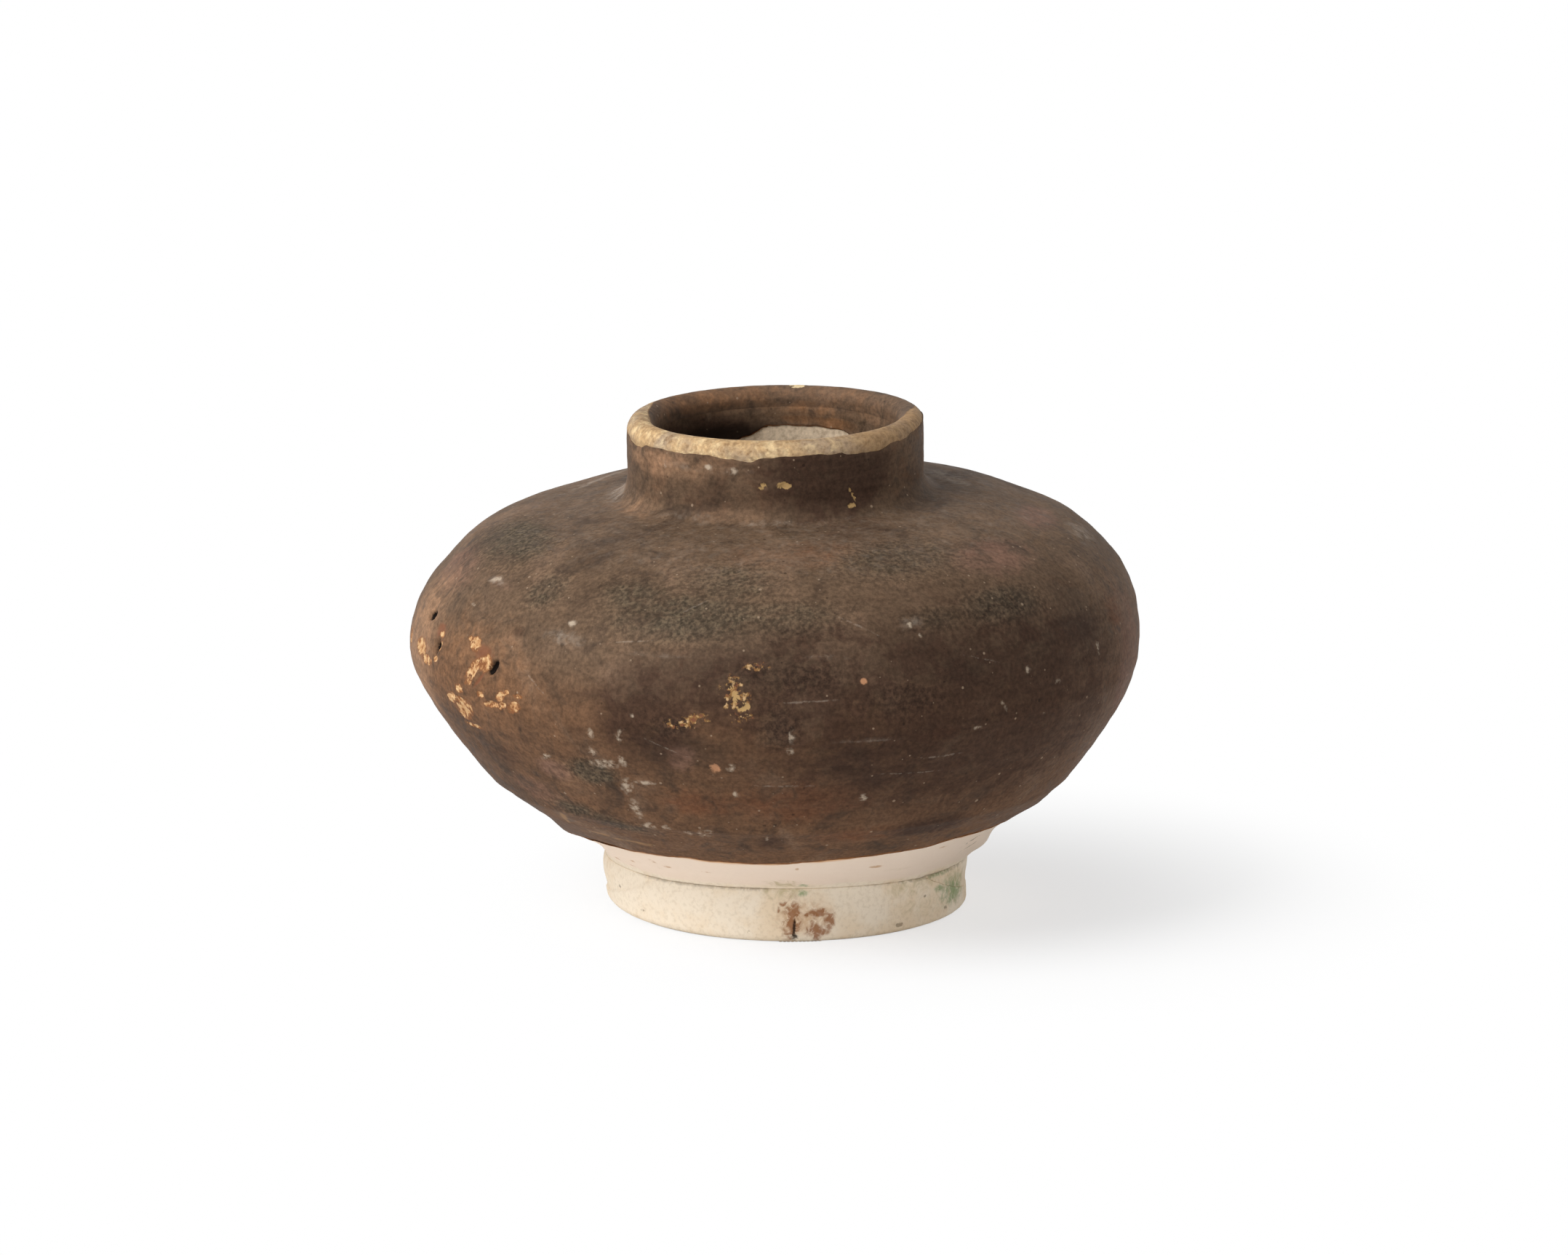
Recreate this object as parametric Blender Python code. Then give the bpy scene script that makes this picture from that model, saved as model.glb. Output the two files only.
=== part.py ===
"""Squat brown-glazed stoneware jar, thrown in sections, luted together and dipped in glaze.

Metres, +Z up. The jar stands on its foot ring with the origin on the floor under the middle of
its girth, and it is seen from -Y. Every piece is turned about one axis and then follows the same
slight warp: the foot sits off centre, and everything above the girth leans.
"""
import math

import bmesh
import bpy
from mathutils import Vector
from mathutils.geometry import interpolate_bezier

MM = 0.001

# Outline of the glazed jar, each rise counted up from the level below it
FOOT_RADIUS = 29.7 * MM
FOOT_HEIGHT = 8.8 * MM
KNUCKLE_RADIUS = 48.2 * MM
KNUCKLE_RISE = 14.0 * MM
GIRTH_RADIUS = 60.0 * MM
GIRTH_RISE = 20.2 * MM
SHOULDER_RISE = 25.8 * MM
NECK_RADIUS = 24.3 * MM
NECK_RISE = 13.0 * MM
NECK_FILLET = 3.2 * MM

# Curves of the wall: angles above the horizontal, and handle lengths as shares of each stretch
FLANK_ANGLE = math.radians(51.5)
SHOULDER_SLOPE = math.radians(6.0)
FLANK_START_SHARE = 0.30
FLANK_END_SHARE = 0.20
SHOULDER_START_SHARE = 0.75
SHOULDER_END_SHARE = 0.46

# Walls, coats and the clearance left between two pieces that touch
GAP = 0.3 * MM
BODY_WALL = 5.0 * MM
FLOOR_WALL = 6.5 * MM
NECK_WALL = 4.4 * MM
GLAZE_COAT = 0.5 * MM

# Edges of the glaze: where it ends on the turned underside, below the lip and inside the neck
GLAZE_LINE_SHARE = 0.46
GLAZE_PROUD = 0.35 * MM
GLAZE_STOP = 3.0 * MM
INNER_GLAZE_DEPTH = 4.2 * MM

# Foot ring, and the pad under the bowl that it is luted round
FOOT_WALL = 7.0 * MM
FOOT_CHAMFER = 1.0 * MM
FOOT_INNER_CHAMFER = 0.8 * MM
FOOT_GROOVE = 0.5 * MM
PAD_DROP = 3.0 * MM
FLOOR_FLAT_SHARE = 0.6
FLOOR_CURVE_SHARE = 0.45

# Seat of the neck collar, let into the top of the shoulder
COLLAR_LANDING = 1.8 * MM
COLLAR_MARGIN = 0.7 * MM
COLLAR_FLANGE = 1.2 * MM
MOUTH_ROUNDING = 1.5 * MM

# Coil of clay pressed over the inside of the girth seam
COIL_THICKNESS = 2.4 * MM
BULGE_SHARE = 4.0 / 3.0

# Warp of the fired jar
FOOT_OFFSET = 1.8 * MM
SHOULDER_TILT = math.radians(1.26)
TILT_EASE = 8.0 * MM

# Fineness of the turned surfaces
SEGMENTS = 48
FLANK_STEPS = 6
SHOULDER_STEPS = 9
FILLET_STEPS = 4
LIP_STEPS = 8
FLOOR_STEPS = 5
ROUNDING_STEPS = 3
COIL_FLANK_STEPS = 2
COIL_SHOULDER_STEPS = 2
COIL_FACE_STEPS = 6

# Levels and radii that follow
KNUCKLE_LEVEL = FOOT_HEIGHT + KNUCKLE_RISE
GIRTH_LEVEL = KNUCKLE_LEVEL + GIRTH_RISE
SHOULDER_LEVEL = GIRTH_LEVEL + SHOULDER_RISE
RIM_LEVEL = SHOULDER_LEVEL + NECK_RISE
BORE_RADIUS = NECK_RADIUS - NECK_WALL
FOOT_BORE_RADIUS = FOOT_RADIUS - FOOT_WALL
CLAY_DEPTH = GLAZE_COAT + GAP
INSIDE_DEPTH = CLAY_DEPTH + BODY_WALL
COIL_DEPTH = INSIDE_DEPTH + GAP

# Colours of the fired surfaces, linear RGB
FOOT_CREAM = (0.76, 0.67, 0.51)
BODY_CREAM = (0.72, 0.62, 0.46)
LIP_TAN = (0.62, 0.46, 0.28)
DARK_BROWN = (0.105, 0.060, 0.037)


def flat(radius, height):
    """A point of a turned outline: distance from the axis and height."""
    return Vector((radius, 0.0, height))


def direction(angle):
    """Unit step in the outline's plane, at an angle above the outward horizontal."""
    return flat(math.cos(angle), math.sin(angle))


def curve(start, start_handle, end_handle, end, steps):
    """Points along one Bezier stretch, both ends included."""
    return list(interpolate_bezier(start, start_handle, end_handle, end, steps + 1))


def arc(centre, radius, start_angle, end_angle, steps):
    """Points along a circular arc, both ends included."""
    turn = (end_angle - start_angle) / steps
    return [centre + radius * direction(start_angle + turn * step) for step in range(steps + 1)]


# The outer wall, at a depth measured into the clay from the glazed surface

UNDERSIDE_START = flat(FOOT_RADIUS, FOOT_HEIGHT + GAP)
KNUCKLE = flat(KNUCKLE_RADIUS, KNUCKLE_LEVEL)
UNDERSIDE = KNUCKLE - UNDERSIDE_START
UNDERSIDE_ANGLE = math.atan2(UNDERSIDE.z, UNDERSIDE.x)


def inward(angle):
    """Unit step into the clay, square to a surface that climbs outwards at the angle."""
    return direction(angle + math.radians(90.0))


def knuckle_point(depth):
    """The corner between the turned underside and the flank, mitred to the depth."""
    middle = (UNDERSIDE_ANGLE + FLANK_ANGLE) / 2.0
    half_turn = (FLANK_ANGLE - UNDERSIDE_ANGLE) / 2.0
    return KNUCKLE + inward(middle) * (depth / math.cos(half_turn))


def underside_point(share, depth, along=0.0):
    """A point of the straight underside, a share of the way from the foot to the knuckle."""
    on_line = UNDERSIDE_START + UNDERSIDE * share + UNDERSIDE.normalized() * along
    return on_line + inward(UNDERSIDE_ANGLE) * depth


def flank(depth):
    """The curve from the knuckle up to the girth."""
    start = knuckle_point(depth)
    end = flat(GIRTH_RADIUS - depth, GIRTH_LEVEL)
    span = (end - start).length
    start_handle = start + direction(FLANK_ANGLE) * (span * FLANK_START_SHARE)
    end_handle = end - flat(0.0, span * FLANK_END_SHARE)
    return curve(start, start_handle, end_handle, end, FLANK_STEPS)


def fillet_centre():
    """Centre of the hollow fillet between the shoulder's slope and the neck."""
    rise = NECK_FILLET * (1.0 - math.sin(SHOULDER_SLOPE)) / math.cos(SHOULDER_SLOPE)
    return flat(NECK_RADIUS + NECK_FILLET, SHOULDER_LEVEL + rise)


def landing_point(depth, along):
    """A point of the straight slope round the neck, counted outwards from the fillet."""
    foot_of_fillet = fillet_centre() + inward(-SHOULDER_SLOPE) * -(NECK_FILLET + depth)
    return foot_of_fillet + direction(-SHOULDER_SLOPE) * along


def shoulder(depth):
    """The dome from the girth up to the landing round the neck."""
    start = flat(GIRTH_RADIUS - depth, GIRTH_LEVEL)
    end = landing_point(depth, COLLAR_LANDING)
    start_handle = start + flat(0.0, (end.z - start.z) * SHOULDER_START_SHARE)
    end_handle = end + direction(-SHOULDER_SLOPE) * ((start.x - end.x) * SHOULDER_END_SHARE)
    return curve(start, start_handle, end_handle, end, SHOULDER_STEPS)


def neck_fillet(depth):
    """The hollow fillet, from the landing round to the neck's upright wall."""
    start_angle = math.radians(270.0) - SHOULDER_SLOPE
    return arc(fillet_centre(), NECK_FILLET + depth, start_angle, math.radians(180.0), FILLET_STEPS)


# The outlines of the pieces, each a closed loop or a line from axis to axis

def foot_ring_outline():
    return [
        flat(FOOT_RADIUS - FOOT_CHAMFER, 0.0),
        flat(FOOT_RADIUS, FOOT_CHAMFER),
        flat(FOOT_RADIUS, FOOT_HEIGHT - FOOT_GROOVE),
        flat(FOOT_RADIUS - FOOT_GROOVE, FOOT_HEIGHT),
        flat(FOOT_BORE_RADIUS, FOOT_HEIGHT),
        flat(FOOT_BORE_RADIUS, FOOT_INNER_CHAMFER),
        flat(FOOT_BORE_RADIUS + FOOT_INNER_CHAMFER, 0.0),
    ]


def lower_bowl_outline():
    pad_radius = FOOT_BORE_RADIUS - GAP
    pad = [
        flat(0.0, FOOT_HEIGHT - PAD_DROP),
        flat(pad_radius, FOOT_HEIGHT - PAD_DROP),
        flat(pad_radius, FOOT_HEIGHT + GAP),
        UNDERSIDE_START,
    ]
    underside = [
        underside_point(GLAZE_LINE_SHARE, GLAZE_PROUD, -GAP),
        underside_point(GLAZE_LINE_SHARE, CLAY_DEPTH, -GAP),
    ]
    outside = flank(CLAY_DEPTH)
    outside[-1].z -= GAP / 2.0
    inside = flank(INSIDE_DEPTH)
    inside[-1].z -= GAP / 2.0
    return pad + underside + outside + inside[::-1] + floor_curve(inside[0])[1:]


def floor_curve(start):
    """The inside of the bowl, from its wall down to the flat floor and in to the axis."""
    floor_level = FOOT_HEIGHT + FLOOR_WALL
    end = flat(FOOT_RADIUS * FLOOR_FLAT_SHARE, floor_level)
    reach = (start.x - end.x) * FLOOR_CURVE_SHARE
    start_handle = start - direction(UNDERSIDE_ANGLE) * reach
    end_handle = end + flat(reach, 0.0)
    return curve(start, start_handle, end_handle, end, FLOOR_STEPS) + [flat(0.0, floor_level)]


def girth_coil_outline():
    wall_side = flank(COIL_DEPTH)[-1 - COIL_FLANK_STEPS:]
    wall_side += shoulder(COIL_DEPTH)[1:1 + COIL_SHOULDER_STEPS]
    top = wall_side[-1]
    bottom = wall_side[0]
    bulge = flat(COIL_THICKNESS * BULGE_SHARE, 0.0)
    face = curve(top, top - bulge, bottom - bulge, bottom, COIL_FACE_STEPS)
    return wall_side + face[1:-1]


def seat_level():
    """Height of the seat that the neck collar stands on."""
    return landing_point(CLAY_DEPTH, COLLAR_MARGIN).z - COLLAR_FLANGE


def upper_bowl_outline():
    outside = shoulder(CLAY_DEPTH)
    outside[0].z += GAP / 2.0
    rebate_edge = landing_point(CLAY_DEPTH, COLLAR_MARGIN + GAP)
    seat = [rebate_edge, flat(rebate_edge.x, seat_level()), flat(BORE_RADIUS, seat_level())]
    inside = shoulder(INSIDE_DEPTH)
    inside[0].z += GAP / 2.0
    corner = flat(BORE_RADIUS + MOUTH_ROUNDING, inside[-1].z + MOUTH_ROUNDING)
    rounding = arc(corner, MOUTH_ROUNDING, math.radians(180.0), math.radians(270.0), ROUNDING_STEPS)
    return outside + seat + rounding + inside[::-1]


def neck_collar_outline():
    flange_edge = landing_point(CLAY_DEPTH, COLLAR_MARGIN)
    bottom = seat_level() + GAP
    flange = [flat(BORE_RADIUS, bottom), flat(flange_edge.x, bottom), flange_edge]
    glazed_radius = NECK_RADIUS - CLAY_DEPTH
    outer_step = RIM_LEVEL - GLAZE_STOP + GAP
    step = [flat(glazed_radius, outer_step), flat(NECK_RADIUS, outer_step)]
    lip_centre = flat(NECK_RADIUS - NECK_WALL / 2.0, RIM_LEVEL - NECK_WALL / 2.0)
    lip = arc(lip_centre, NECK_WALL / 2.0, 0.0, math.radians(180.0), LIP_STEPS)
    inner_bottom = RIM_LEVEL - GLAZE_STOP - INNER_GLAZE_DEPTH - GAP
    rebate = [
        flat(BORE_RADIUS, outer_step),
        flat(BORE_RADIUS + CLAY_DEPTH, outer_step),
        flat(BORE_RADIUS + CLAY_DEPTH, inner_bottom),
        flat(BORE_RADIUS, inner_bottom),
    ]
    return flange + neck_fillet(CLAY_DEPTH) + step + lip + rebate


def glazed_side(depth):
    """The whole glazed outside at a depth, from the glaze line up to its edge below the lip."""
    line = [underside_point(GLAZE_LINE_SHARE, depth)]
    edge = [flat(NECK_RADIUS - depth, RIM_LEVEL - GLAZE_STOP)]
    return line + flank(depth) + shoulder(depth)[1:] + neck_fillet(depth) + edge


def outer_glaze_outline():
    return glazed_side(0.0) + glazed_side(GLAZE_COAT)[::-1]


def inner_glaze_outline():
    top = RIM_LEVEL - GLAZE_STOP
    bottom = top - INNER_GLAZE_DEPTH
    return [
        flat(BORE_RADIUS, bottom),
        flat(BORE_RADIUS + GLAZE_COAT, bottom),
        flat(BORE_RADIUS + GLAZE_COAT, top),
        flat(BORE_RADIUS, top),
    ]


# Turning the outlines into solids

def warp(point):
    """Carries a point of the true turned form to its place on the warped jar."""
    below = max(0.0, 1.0 - point.z / GIRTH_LEVEL)
    above = min(1.0, max(0.0, (point.z - GIRTH_LEVEL) / TILT_EASE))
    eased = above * above * (3.0 - 2.0 * above)
    lift = math.tan(SHOULDER_TILT) * point.x * eased
    return Vector((point.x + FOOT_OFFSET * below, point.y, point.z + lift))


def material(name, colour, roughness):
    surface = bpy.data.materials.new(name)
    surface.use_nodes = True
    shader = surface.node_tree.nodes["Principled BSDF"]
    shader.inputs["Base Color"].default_value = (*colour, 1.0)
    shader.inputs["Roughness"].default_value = roughness
    shader.inputs["Metallic"].default_value = 0.0
    return surface


def turned(name, outline, surface):
    """Spins an outline about the jar's axis and warps the solid that it makes."""
    shape = bmesh.new()
    points = [shape.verts.new(point) for point in outline]
    open_at_axis = outline[0].x == 0.0 and outline[-1].x == 0.0
    ends = zip(points, points[1:] if open_at_axis else points[1:] + points[:1])
    edges = [shape.edges.new(pair) for pair in ends]
    bmesh.ops.spin(
        shape,
        geom=points + edges,
        axis=(0.0, 0.0, 1.0),
        cent=(0.0, 0.0, 0.0),
        angle=math.tau,
        steps=SEGMENTS,
        use_merge=True,
    )
    bmesh.ops.remove_doubles(shape, verts=shape.verts, dist=GAP / SEGMENTS)
    bmesh.ops.recalc_face_normals(shape, faces=shape.faces)
    for vertex in shape.verts:
        vertex.co = warp(vertex.co)
    mesh = bpy.data.meshes.new(name)
    shape.to_mesh(mesh)
    shape.free()
    mesh.materials.append(surface)
    mesh.shade_smooth()
    mesh.set_sharp_from_angle(angle=math.radians(30.0))
    solid = bpy.data.objects.new(name, mesh)
    bpy.context.scene.collection.objects.link(solid)
    return solid


def main():
    for leftover in list(bpy.data.objects):
        bpy.data.objects.remove(leftover, do_unlink=True)

    foot_clay = material("turned_cream_clay", FOOT_CREAM, 0.85)
    body_clay = material("thrown_stoneware", BODY_CREAM, 0.9)
    lip_clay = material("tan_lip_clay", LIP_TAN, 0.8)
    glaze = material("brown_iron_glaze", DARK_BROWN, 0.55)

    turned("foot_ring", foot_ring_outline(), foot_clay)
    turned("lower_bowl", lower_bowl_outline(), foot_clay)
    turned("girth_coil", girth_coil_outline(), body_clay)
    turned("upper_bowl", upper_bowl_outline(), body_clay)
    turned("neck_collar", neck_collar_outline(), lip_clay)
    turned("outer_glaze", outer_glaze_outline(), glaze)
    turned("neck_inner_glaze", inner_glaze_outline(), glaze)


main()
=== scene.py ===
"""Squat brown-glazed stoneware jar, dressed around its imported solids.

Metres, +Z up, the photographed front faces -Y. Every piece is turned about the jar's axis from one
shared form, follows the slight warp of the fired jar, and then gets its hand-made unevenness and wear.
"""
import math
from typing import NamedTuple

import bmesh
import bpy
import numpy as np
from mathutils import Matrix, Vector, noise
from mathutils.geometry import interpolate_bezier


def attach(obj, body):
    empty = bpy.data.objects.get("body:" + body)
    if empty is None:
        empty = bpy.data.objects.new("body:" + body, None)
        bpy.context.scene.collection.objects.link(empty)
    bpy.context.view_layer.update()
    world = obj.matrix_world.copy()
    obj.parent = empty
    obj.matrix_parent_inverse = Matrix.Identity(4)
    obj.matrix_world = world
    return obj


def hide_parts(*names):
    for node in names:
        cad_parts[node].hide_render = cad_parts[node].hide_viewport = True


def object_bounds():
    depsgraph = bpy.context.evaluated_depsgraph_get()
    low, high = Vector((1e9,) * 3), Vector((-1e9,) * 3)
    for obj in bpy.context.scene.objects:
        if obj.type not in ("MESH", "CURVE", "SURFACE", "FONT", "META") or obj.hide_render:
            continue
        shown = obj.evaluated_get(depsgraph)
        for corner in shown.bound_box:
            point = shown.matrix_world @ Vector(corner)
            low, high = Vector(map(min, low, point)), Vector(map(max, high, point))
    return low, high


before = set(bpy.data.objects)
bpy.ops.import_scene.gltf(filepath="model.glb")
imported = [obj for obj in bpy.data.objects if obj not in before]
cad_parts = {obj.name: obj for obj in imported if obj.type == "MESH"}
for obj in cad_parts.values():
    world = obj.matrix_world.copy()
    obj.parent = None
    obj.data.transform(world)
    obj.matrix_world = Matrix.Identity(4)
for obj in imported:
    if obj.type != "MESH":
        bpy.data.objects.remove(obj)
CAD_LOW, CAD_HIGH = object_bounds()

bl_info = {
    "name": "Glazed Jar",
    "version": (1, 0, 0),
    "blender": (4, 5, 0),
    "location": "View3D > Sidebar > Jar",
    "description": "Builds a worn, brown-glazed stoneware jar piece by piece, with its studio stage",
    "category": "Add Mesh",
}

MM = 0.001
TINY = 0.001 * MM


def linear(code):
    """Turns an sRGB hex colour into the linear values that materials hold."""
    shares = [int(code[start:start + 2], 16) / 255 for start in (1, 3, 5)]
    return tuple(s / 12.92 if s <= 0.04045 else ((s + 0.055) / 1.055) ** 2.4 for s in shares)


def length(name, millimetres, description):
    """A size that a user can change, given in millimetres and held in metres."""
    return bpy.props.FloatProperty(
        name=name, description=description, default=millimetres * MM,
        subtype="DISTANCE", unit="LENGTH", precision=5,
    )


def angle(name, degrees, description):
    """An angle that a user can change, given in degrees."""
    return bpy.props.FloatProperty(
        name=name, description=description, default=math.radians(degrees),
        subtype="ANGLE", unit="ROTATION",
    )


def share(name, value, description):
    """A share or strength that a user can change."""
    return bpy.props.FloatProperty(name=name, description=description, default=value, min=0.0)


def shade(name, code, description):
    """A colour that a user can change, given as sRGB hex."""
    return bpy.props.FloatVectorProperty(
        name=name, description=description, default=linear(code),
        subtype="COLOR", size=3, min=0.0, max=1.0,
    )


# What a user can change


class JarSizes(bpy.types.PropertyGroup):
    """Sizes of the turned form, each rise counted up from the level below it."""

    foot_radius: length("Foot radius", 29.7, "Outside radius of the foot ring")
    foot_height: length("Foot height", 8.8, "Height of the foot ring")
    knuckle_radius: length("Knuckle radius", 48.2, "Radius where the turned underside meets the flank")
    knuckle_rise: length("Knuckle rise", 14.0, "Rise from the foot ring to the knuckle")
    girth_radius: length("Girth radius", (CAD_HIGH.x - CAD_LOW.x) / 2 / MM, "Radius at the widest part")
    girth_rise: length("Girth rise", 20.2, "Rise from the knuckle to the widest part")
    shoulder_rise: length("Shoulder rise", 25.8, "Rise from the widest part to the foot of the neck")
    neck_radius: length("Neck radius", 24.3, "Outside radius of the neck")
    neck_rise: length("Neck rise", 13.0, "Rise from the foot of the neck to the lip")
    neck_fillet: length("Neck fillet", 3.2, "Radius of the hollow fillet round the neck")
    flank_angle: angle("Flank angle", 51.5, "Climb of the flank at the knuckle")
    shoulder_slope: angle("Shoulder slope", 6.0, "Fall of the shoulder away from the neck")
    body_wall: length("Body wall", 5.0, "Thickness of the thrown wall")
    floor_wall: length("Floor", 6.5, "Thickness of the floor above the foot ring")
    neck_wall: length("Neck wall", 4.4, "Thickness of the neck")
    glaze_coat: length("Glaze coat", 0.5, "Thickness of the glaze coat")
    glaze_proud: length("Glaze step", 0.3, "How far the glaze stands proud of the bare clay at its edge")
    foot_wall: length("Foot wall", 7.0, "Width of the foot ring's flat face and its two edges")
    foot_offset: length("Foot offset", 1.8, "How far the foot sits off the middle of the girth")
    joint_sag_right: length("Joint sag, right", 1.4, "How much lower the foot's joint is at the right")
    joint_sag_left: length("Joint sag, left", 0.9, "How much lower the foot's joint is at the left")
    shoulder_tilt: angle("Shoulder tilt", 1.26, "Lean of everything above the girth")


class JarWear(bpy.types.PropertyGroup):
    """How uneven the hand-made skin is."""

    wobble: length("Wobble", 0.22, "Height of the slow unevenness of the thrown wall")
    rings: length("Throwing rings", 0.10, "Height of the rings left by the fingers")
    pitting: length("Pitting", 0.035, "Height of the fine unevenness of the glaze skin")
    edge_wander: length("Edge wander", 0.35, "How far the glaze edges wander from their line")
    grain: length("Grain", 0.70, "Size of the glaze's sandy grain, drawn coarse enough to show")


class JarColours(bpy.types.PropertyGroup):
    """Colours of the fired surfaces."""

    glaze_brown: shade("Glaze brown", "#5E4B3B", "Body of the iron glaze on the shoulder")
    glaze_low: shade("Glaze low", "#624835", "Body of the iron glaze below the girth")
    glaze_dark: shade("Glaze dark", "#44352A", "Thick places of the glaze")
    glaze_light: shade("Glaze light", "#735C4A", "Thin places of the glaze")
    glaze_olive: shade("Glaze olive", "#483F33", "Olive-grey film where the glaze is rubbed dull")
    glaze_plum: shade("Glaze plum", "#37271F", "Dark purple-brown places of the glaze")
    # Also laid on the left and right edges, where it is painted sheen as well as colour
    glaze_blush: shade("Glaze blush", "#76594B", "Reddish pink-brown places of the glaze")
    # Also laid on the left and right edges, where it is painted sheen as well as rubbed glaze
    glaze_pale: shade("Glaze pale", "#8E6E55", "Rubbed tan glaze where the jar stands out most")
    glaze_warm: shade("Glaze warm", "#7B583E", "Warm brown glaze on the knocked side")
    glaze_red: shade("Glaze red", "#65432F", "Places where the iron fired warmer")
    glaze_thin: shade("Glaze thin", "#92714F", "Glaze so thin that the clay shows through")
    sand: shade("Sand", "#9E8872", "Pale grains in the glaze")
    # Also laid round the top of the shoulder, where it is painted sheen as well as dust
    dust: shade("Dust", "#A8998A", "Pale dust held by the grain")
    crust: shade("Crust", "#B3A28E", "Whitish crust")
    chip_pale: shade("Chip pale", "#CBA87C", "Rubbed clay in a chip")
    chip_tan: shade("Chip tan", "#B0845A", "Bare clay in a chip")
    chip_deep: shade("Chip deep", "#7C5032", "Stained clay in a chip")
    # Near black for dark specks and dirt, and for painted shade inside the deep pits and low in the mouth
    pit_dirt: shade("Pit dirt and shade", "#120B07", "Dirt in a deep pit")
    glaze_rust: shade("Glaze rust", "#7A4E38", "Reddish edge of a knock")
    rust_dot: shade("Rust dot", "#B28260", "Orange dot in the glaze")
    gold: shade("Gold", "#8E6A3C", "Ochre bloom on the glaze")
    ochre: shade("Ochre", "#A98A5C", "Bare ochre clay in a small chip")
    wash: shade("Wash", "#7E5A3E", "Thin orange-brown glaze inside the neck")
    glaze_rim: shade("Glaze rim", "#8A5A34", "Thin rusty rim of the glaze over clay")
    cream: shade("Cream clay", "#ECDFCB", "Turned clay of the foot")
    cream_deep: shade("Deep cream clay", "#E6D3B8", "Deeper tone of the foot's clay")
    cream_pink: shade("Pink clay", "#EBD9C8", "Pinker clay of the turned underside")
    cream_peach: shade("Peach clay", "#CF9F70", "Clay flashed peach beside the glaze")
    clay_speck: shade("Clay speck", "#75624A", "Dark specks in the clay")
    lip_tan: shade("Lip tan", "#B3946C", "Bare lip")
    lip_grey: shade("Lip grey", "#9C8871", "Greyer places of the bare clay")
    lip_cream: shade("Lip cream", "#E6CEA2", "Rubbed places of the lip")
    lip_brown: shade("Lip brown", "#80603F", "Stained places of the lip")
    body_clay: shade("Body clay", "#C2AE95", "Unglazed clay inside the jar")
    rust_stain: shade("Rust stain", "#8E5A34", "Iron stain beside the crack in the foot")
    haze_stain: shade("Haze stain", "#B98F64", "Faint iron stain in the foot")
    green_stain: shade("Green stain", "#7C9468", "Green stain on the foot")
    olive_stain: shade("Olive stain", "#B5A67C", "Olive tinge on the foot")
    floor_white: shade("Floor", "#F6F6F6", "Studio floor")


class StudioSettings(bpy.types.PropertyGroup):
    """Camera and light of the studio."""

    distance: length("Camera distance", 1700.0, "From the camera to the middle of the jar")
    elevation: angle("Camera elevation", 13.35, "Camera's height above the horizon")
    aim_height: length("Aim height", 40.0, "Height that the camera is set out from")
    frame_right: length("Frame right", 1.41, "How far the frame's middle lies to the right of the aim")
    frame_up: length("Frame up", 5.54, "How far the frame's middle lies above the aim")
    focal_length: bpy.props.FloatProperty(
        name="Focal length", description="Lens on a 36 mm sensor", default=237.73,
        subtype="DISTANCE_CAMERA", unit="CAMERA",
    )
    key_watts: bpy.props.FloatProperty(
        name="Key light", description="Power of the soft key light", default=14.2,
        subtype="POWER", unit="POWER",
    )
    key_size: length("Key light size", 800.0, "Width of the soft key light")
    key_distance: length("Key light distance", 1200.0, "From the key light to the jar")
    key_bearing: angle("Key light bearing", -54.0, "Side that the key light stands on, from the front")
    key_elevation: angle("Key light elevation", 45.0, "Key light's height above the horizon")
    ambient: share("Ambient", 0.24, "Strength of the light that comes from all round")
    horizon: share("Horizon", 1.0, "Further light that comes from the horizon")
    paper_white: share("Paper white", 0.62, "How far the floor near the jar is seen as pure white")
    shadow_right: length("Shadow right", 30.0, "How far the shadow's middle lies to the right of the jar's")
    shadow_back: length("Shadow back", 0.0, "How far the shadow's middle lies behind the jar's")
    shadow_start: length("Shadow start", 15.0, "Distance from the shadow's middle where it starts to fade")
    shadow_end: length("Shadow end", 85.0, "Distance from the shadow's middle where it has gone")


# The turned form


def flat(radius, height):
    """A point of a turned outline: distance from the axis and height."""
    return Vector((radius, 0.0, height))


def direction(slope):
    """Unit step in the outline's plane, at an angle above the outward horizontal."""
    return flat(math.cos(slope), math.sin(slope))


def inward(slope):
    """Unit step into the clay, square to a surface that climbs outwards at the angle."""
    return direction(slope + math.radians(90.0))


def curve(start, start_handle, end_handle, end, steps):
    """Points along one Bezier stretch, both ends included."""
    return list(interpolate_bezier(start, start_handle, end_handle, end, steps + 1))


def straight(start, end, steps):
    """Points along a straight stretch, both ends included."""
    return [start.lerp(end, step / steps) for step in range(steps + 1)]


def arc(centre, radius, start_degrees, end_degrees, steps):
    """Points along a circular arc, both ends included."""
    turns = [math.radians(start_degrees + (end_degrees - start_degrees) * step / steps)
             for step in range(steps + 1)]
    return [centre + radius * direction(turn) for turn in turns]


def joined(*stretches):
    """One line of points from stretches that meet end to end."""
    points = []
    for point in (point for stretch in stretches for point in stretch):
        if not points or (point - points[-1]).length > TINY:
            points.append(point)
    return points


def smooth(value):
    """Eases a number from 0 to 1, flat at both ends."""
    held = np.clip(value, 0.0, 1.0)
    return held * held * (3.0 - 2.0 * held)


# Fixed shares and small sizes of the form

FLANK_SHARES = (0.30, 0.20)
SHOULDER_SHARES = (0.75, 0.46)
GLAZE_LINE_SHARE = 0.46
CLEARANCE = 0.3 * MM
GLAZE_STOP = 3.0 * MM
INNER_GLAZE_DEPTH = 4.2 * MM
COLLAR_LANDING = 1.8 * MM
COLLAR_MARGIN = 0.7 * MM
COLLAR_FLANGE = 1.2 * MM
MOUTH_ROUNDING = 1.5 * MM
PAD_DROP = 3.0 * MM
FLOOR_FLAT_SHARE = 0.6
FLOOR_CURVE_SHARE = 0.45
COIL_THICKNESS = 2.4 * MM
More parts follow.
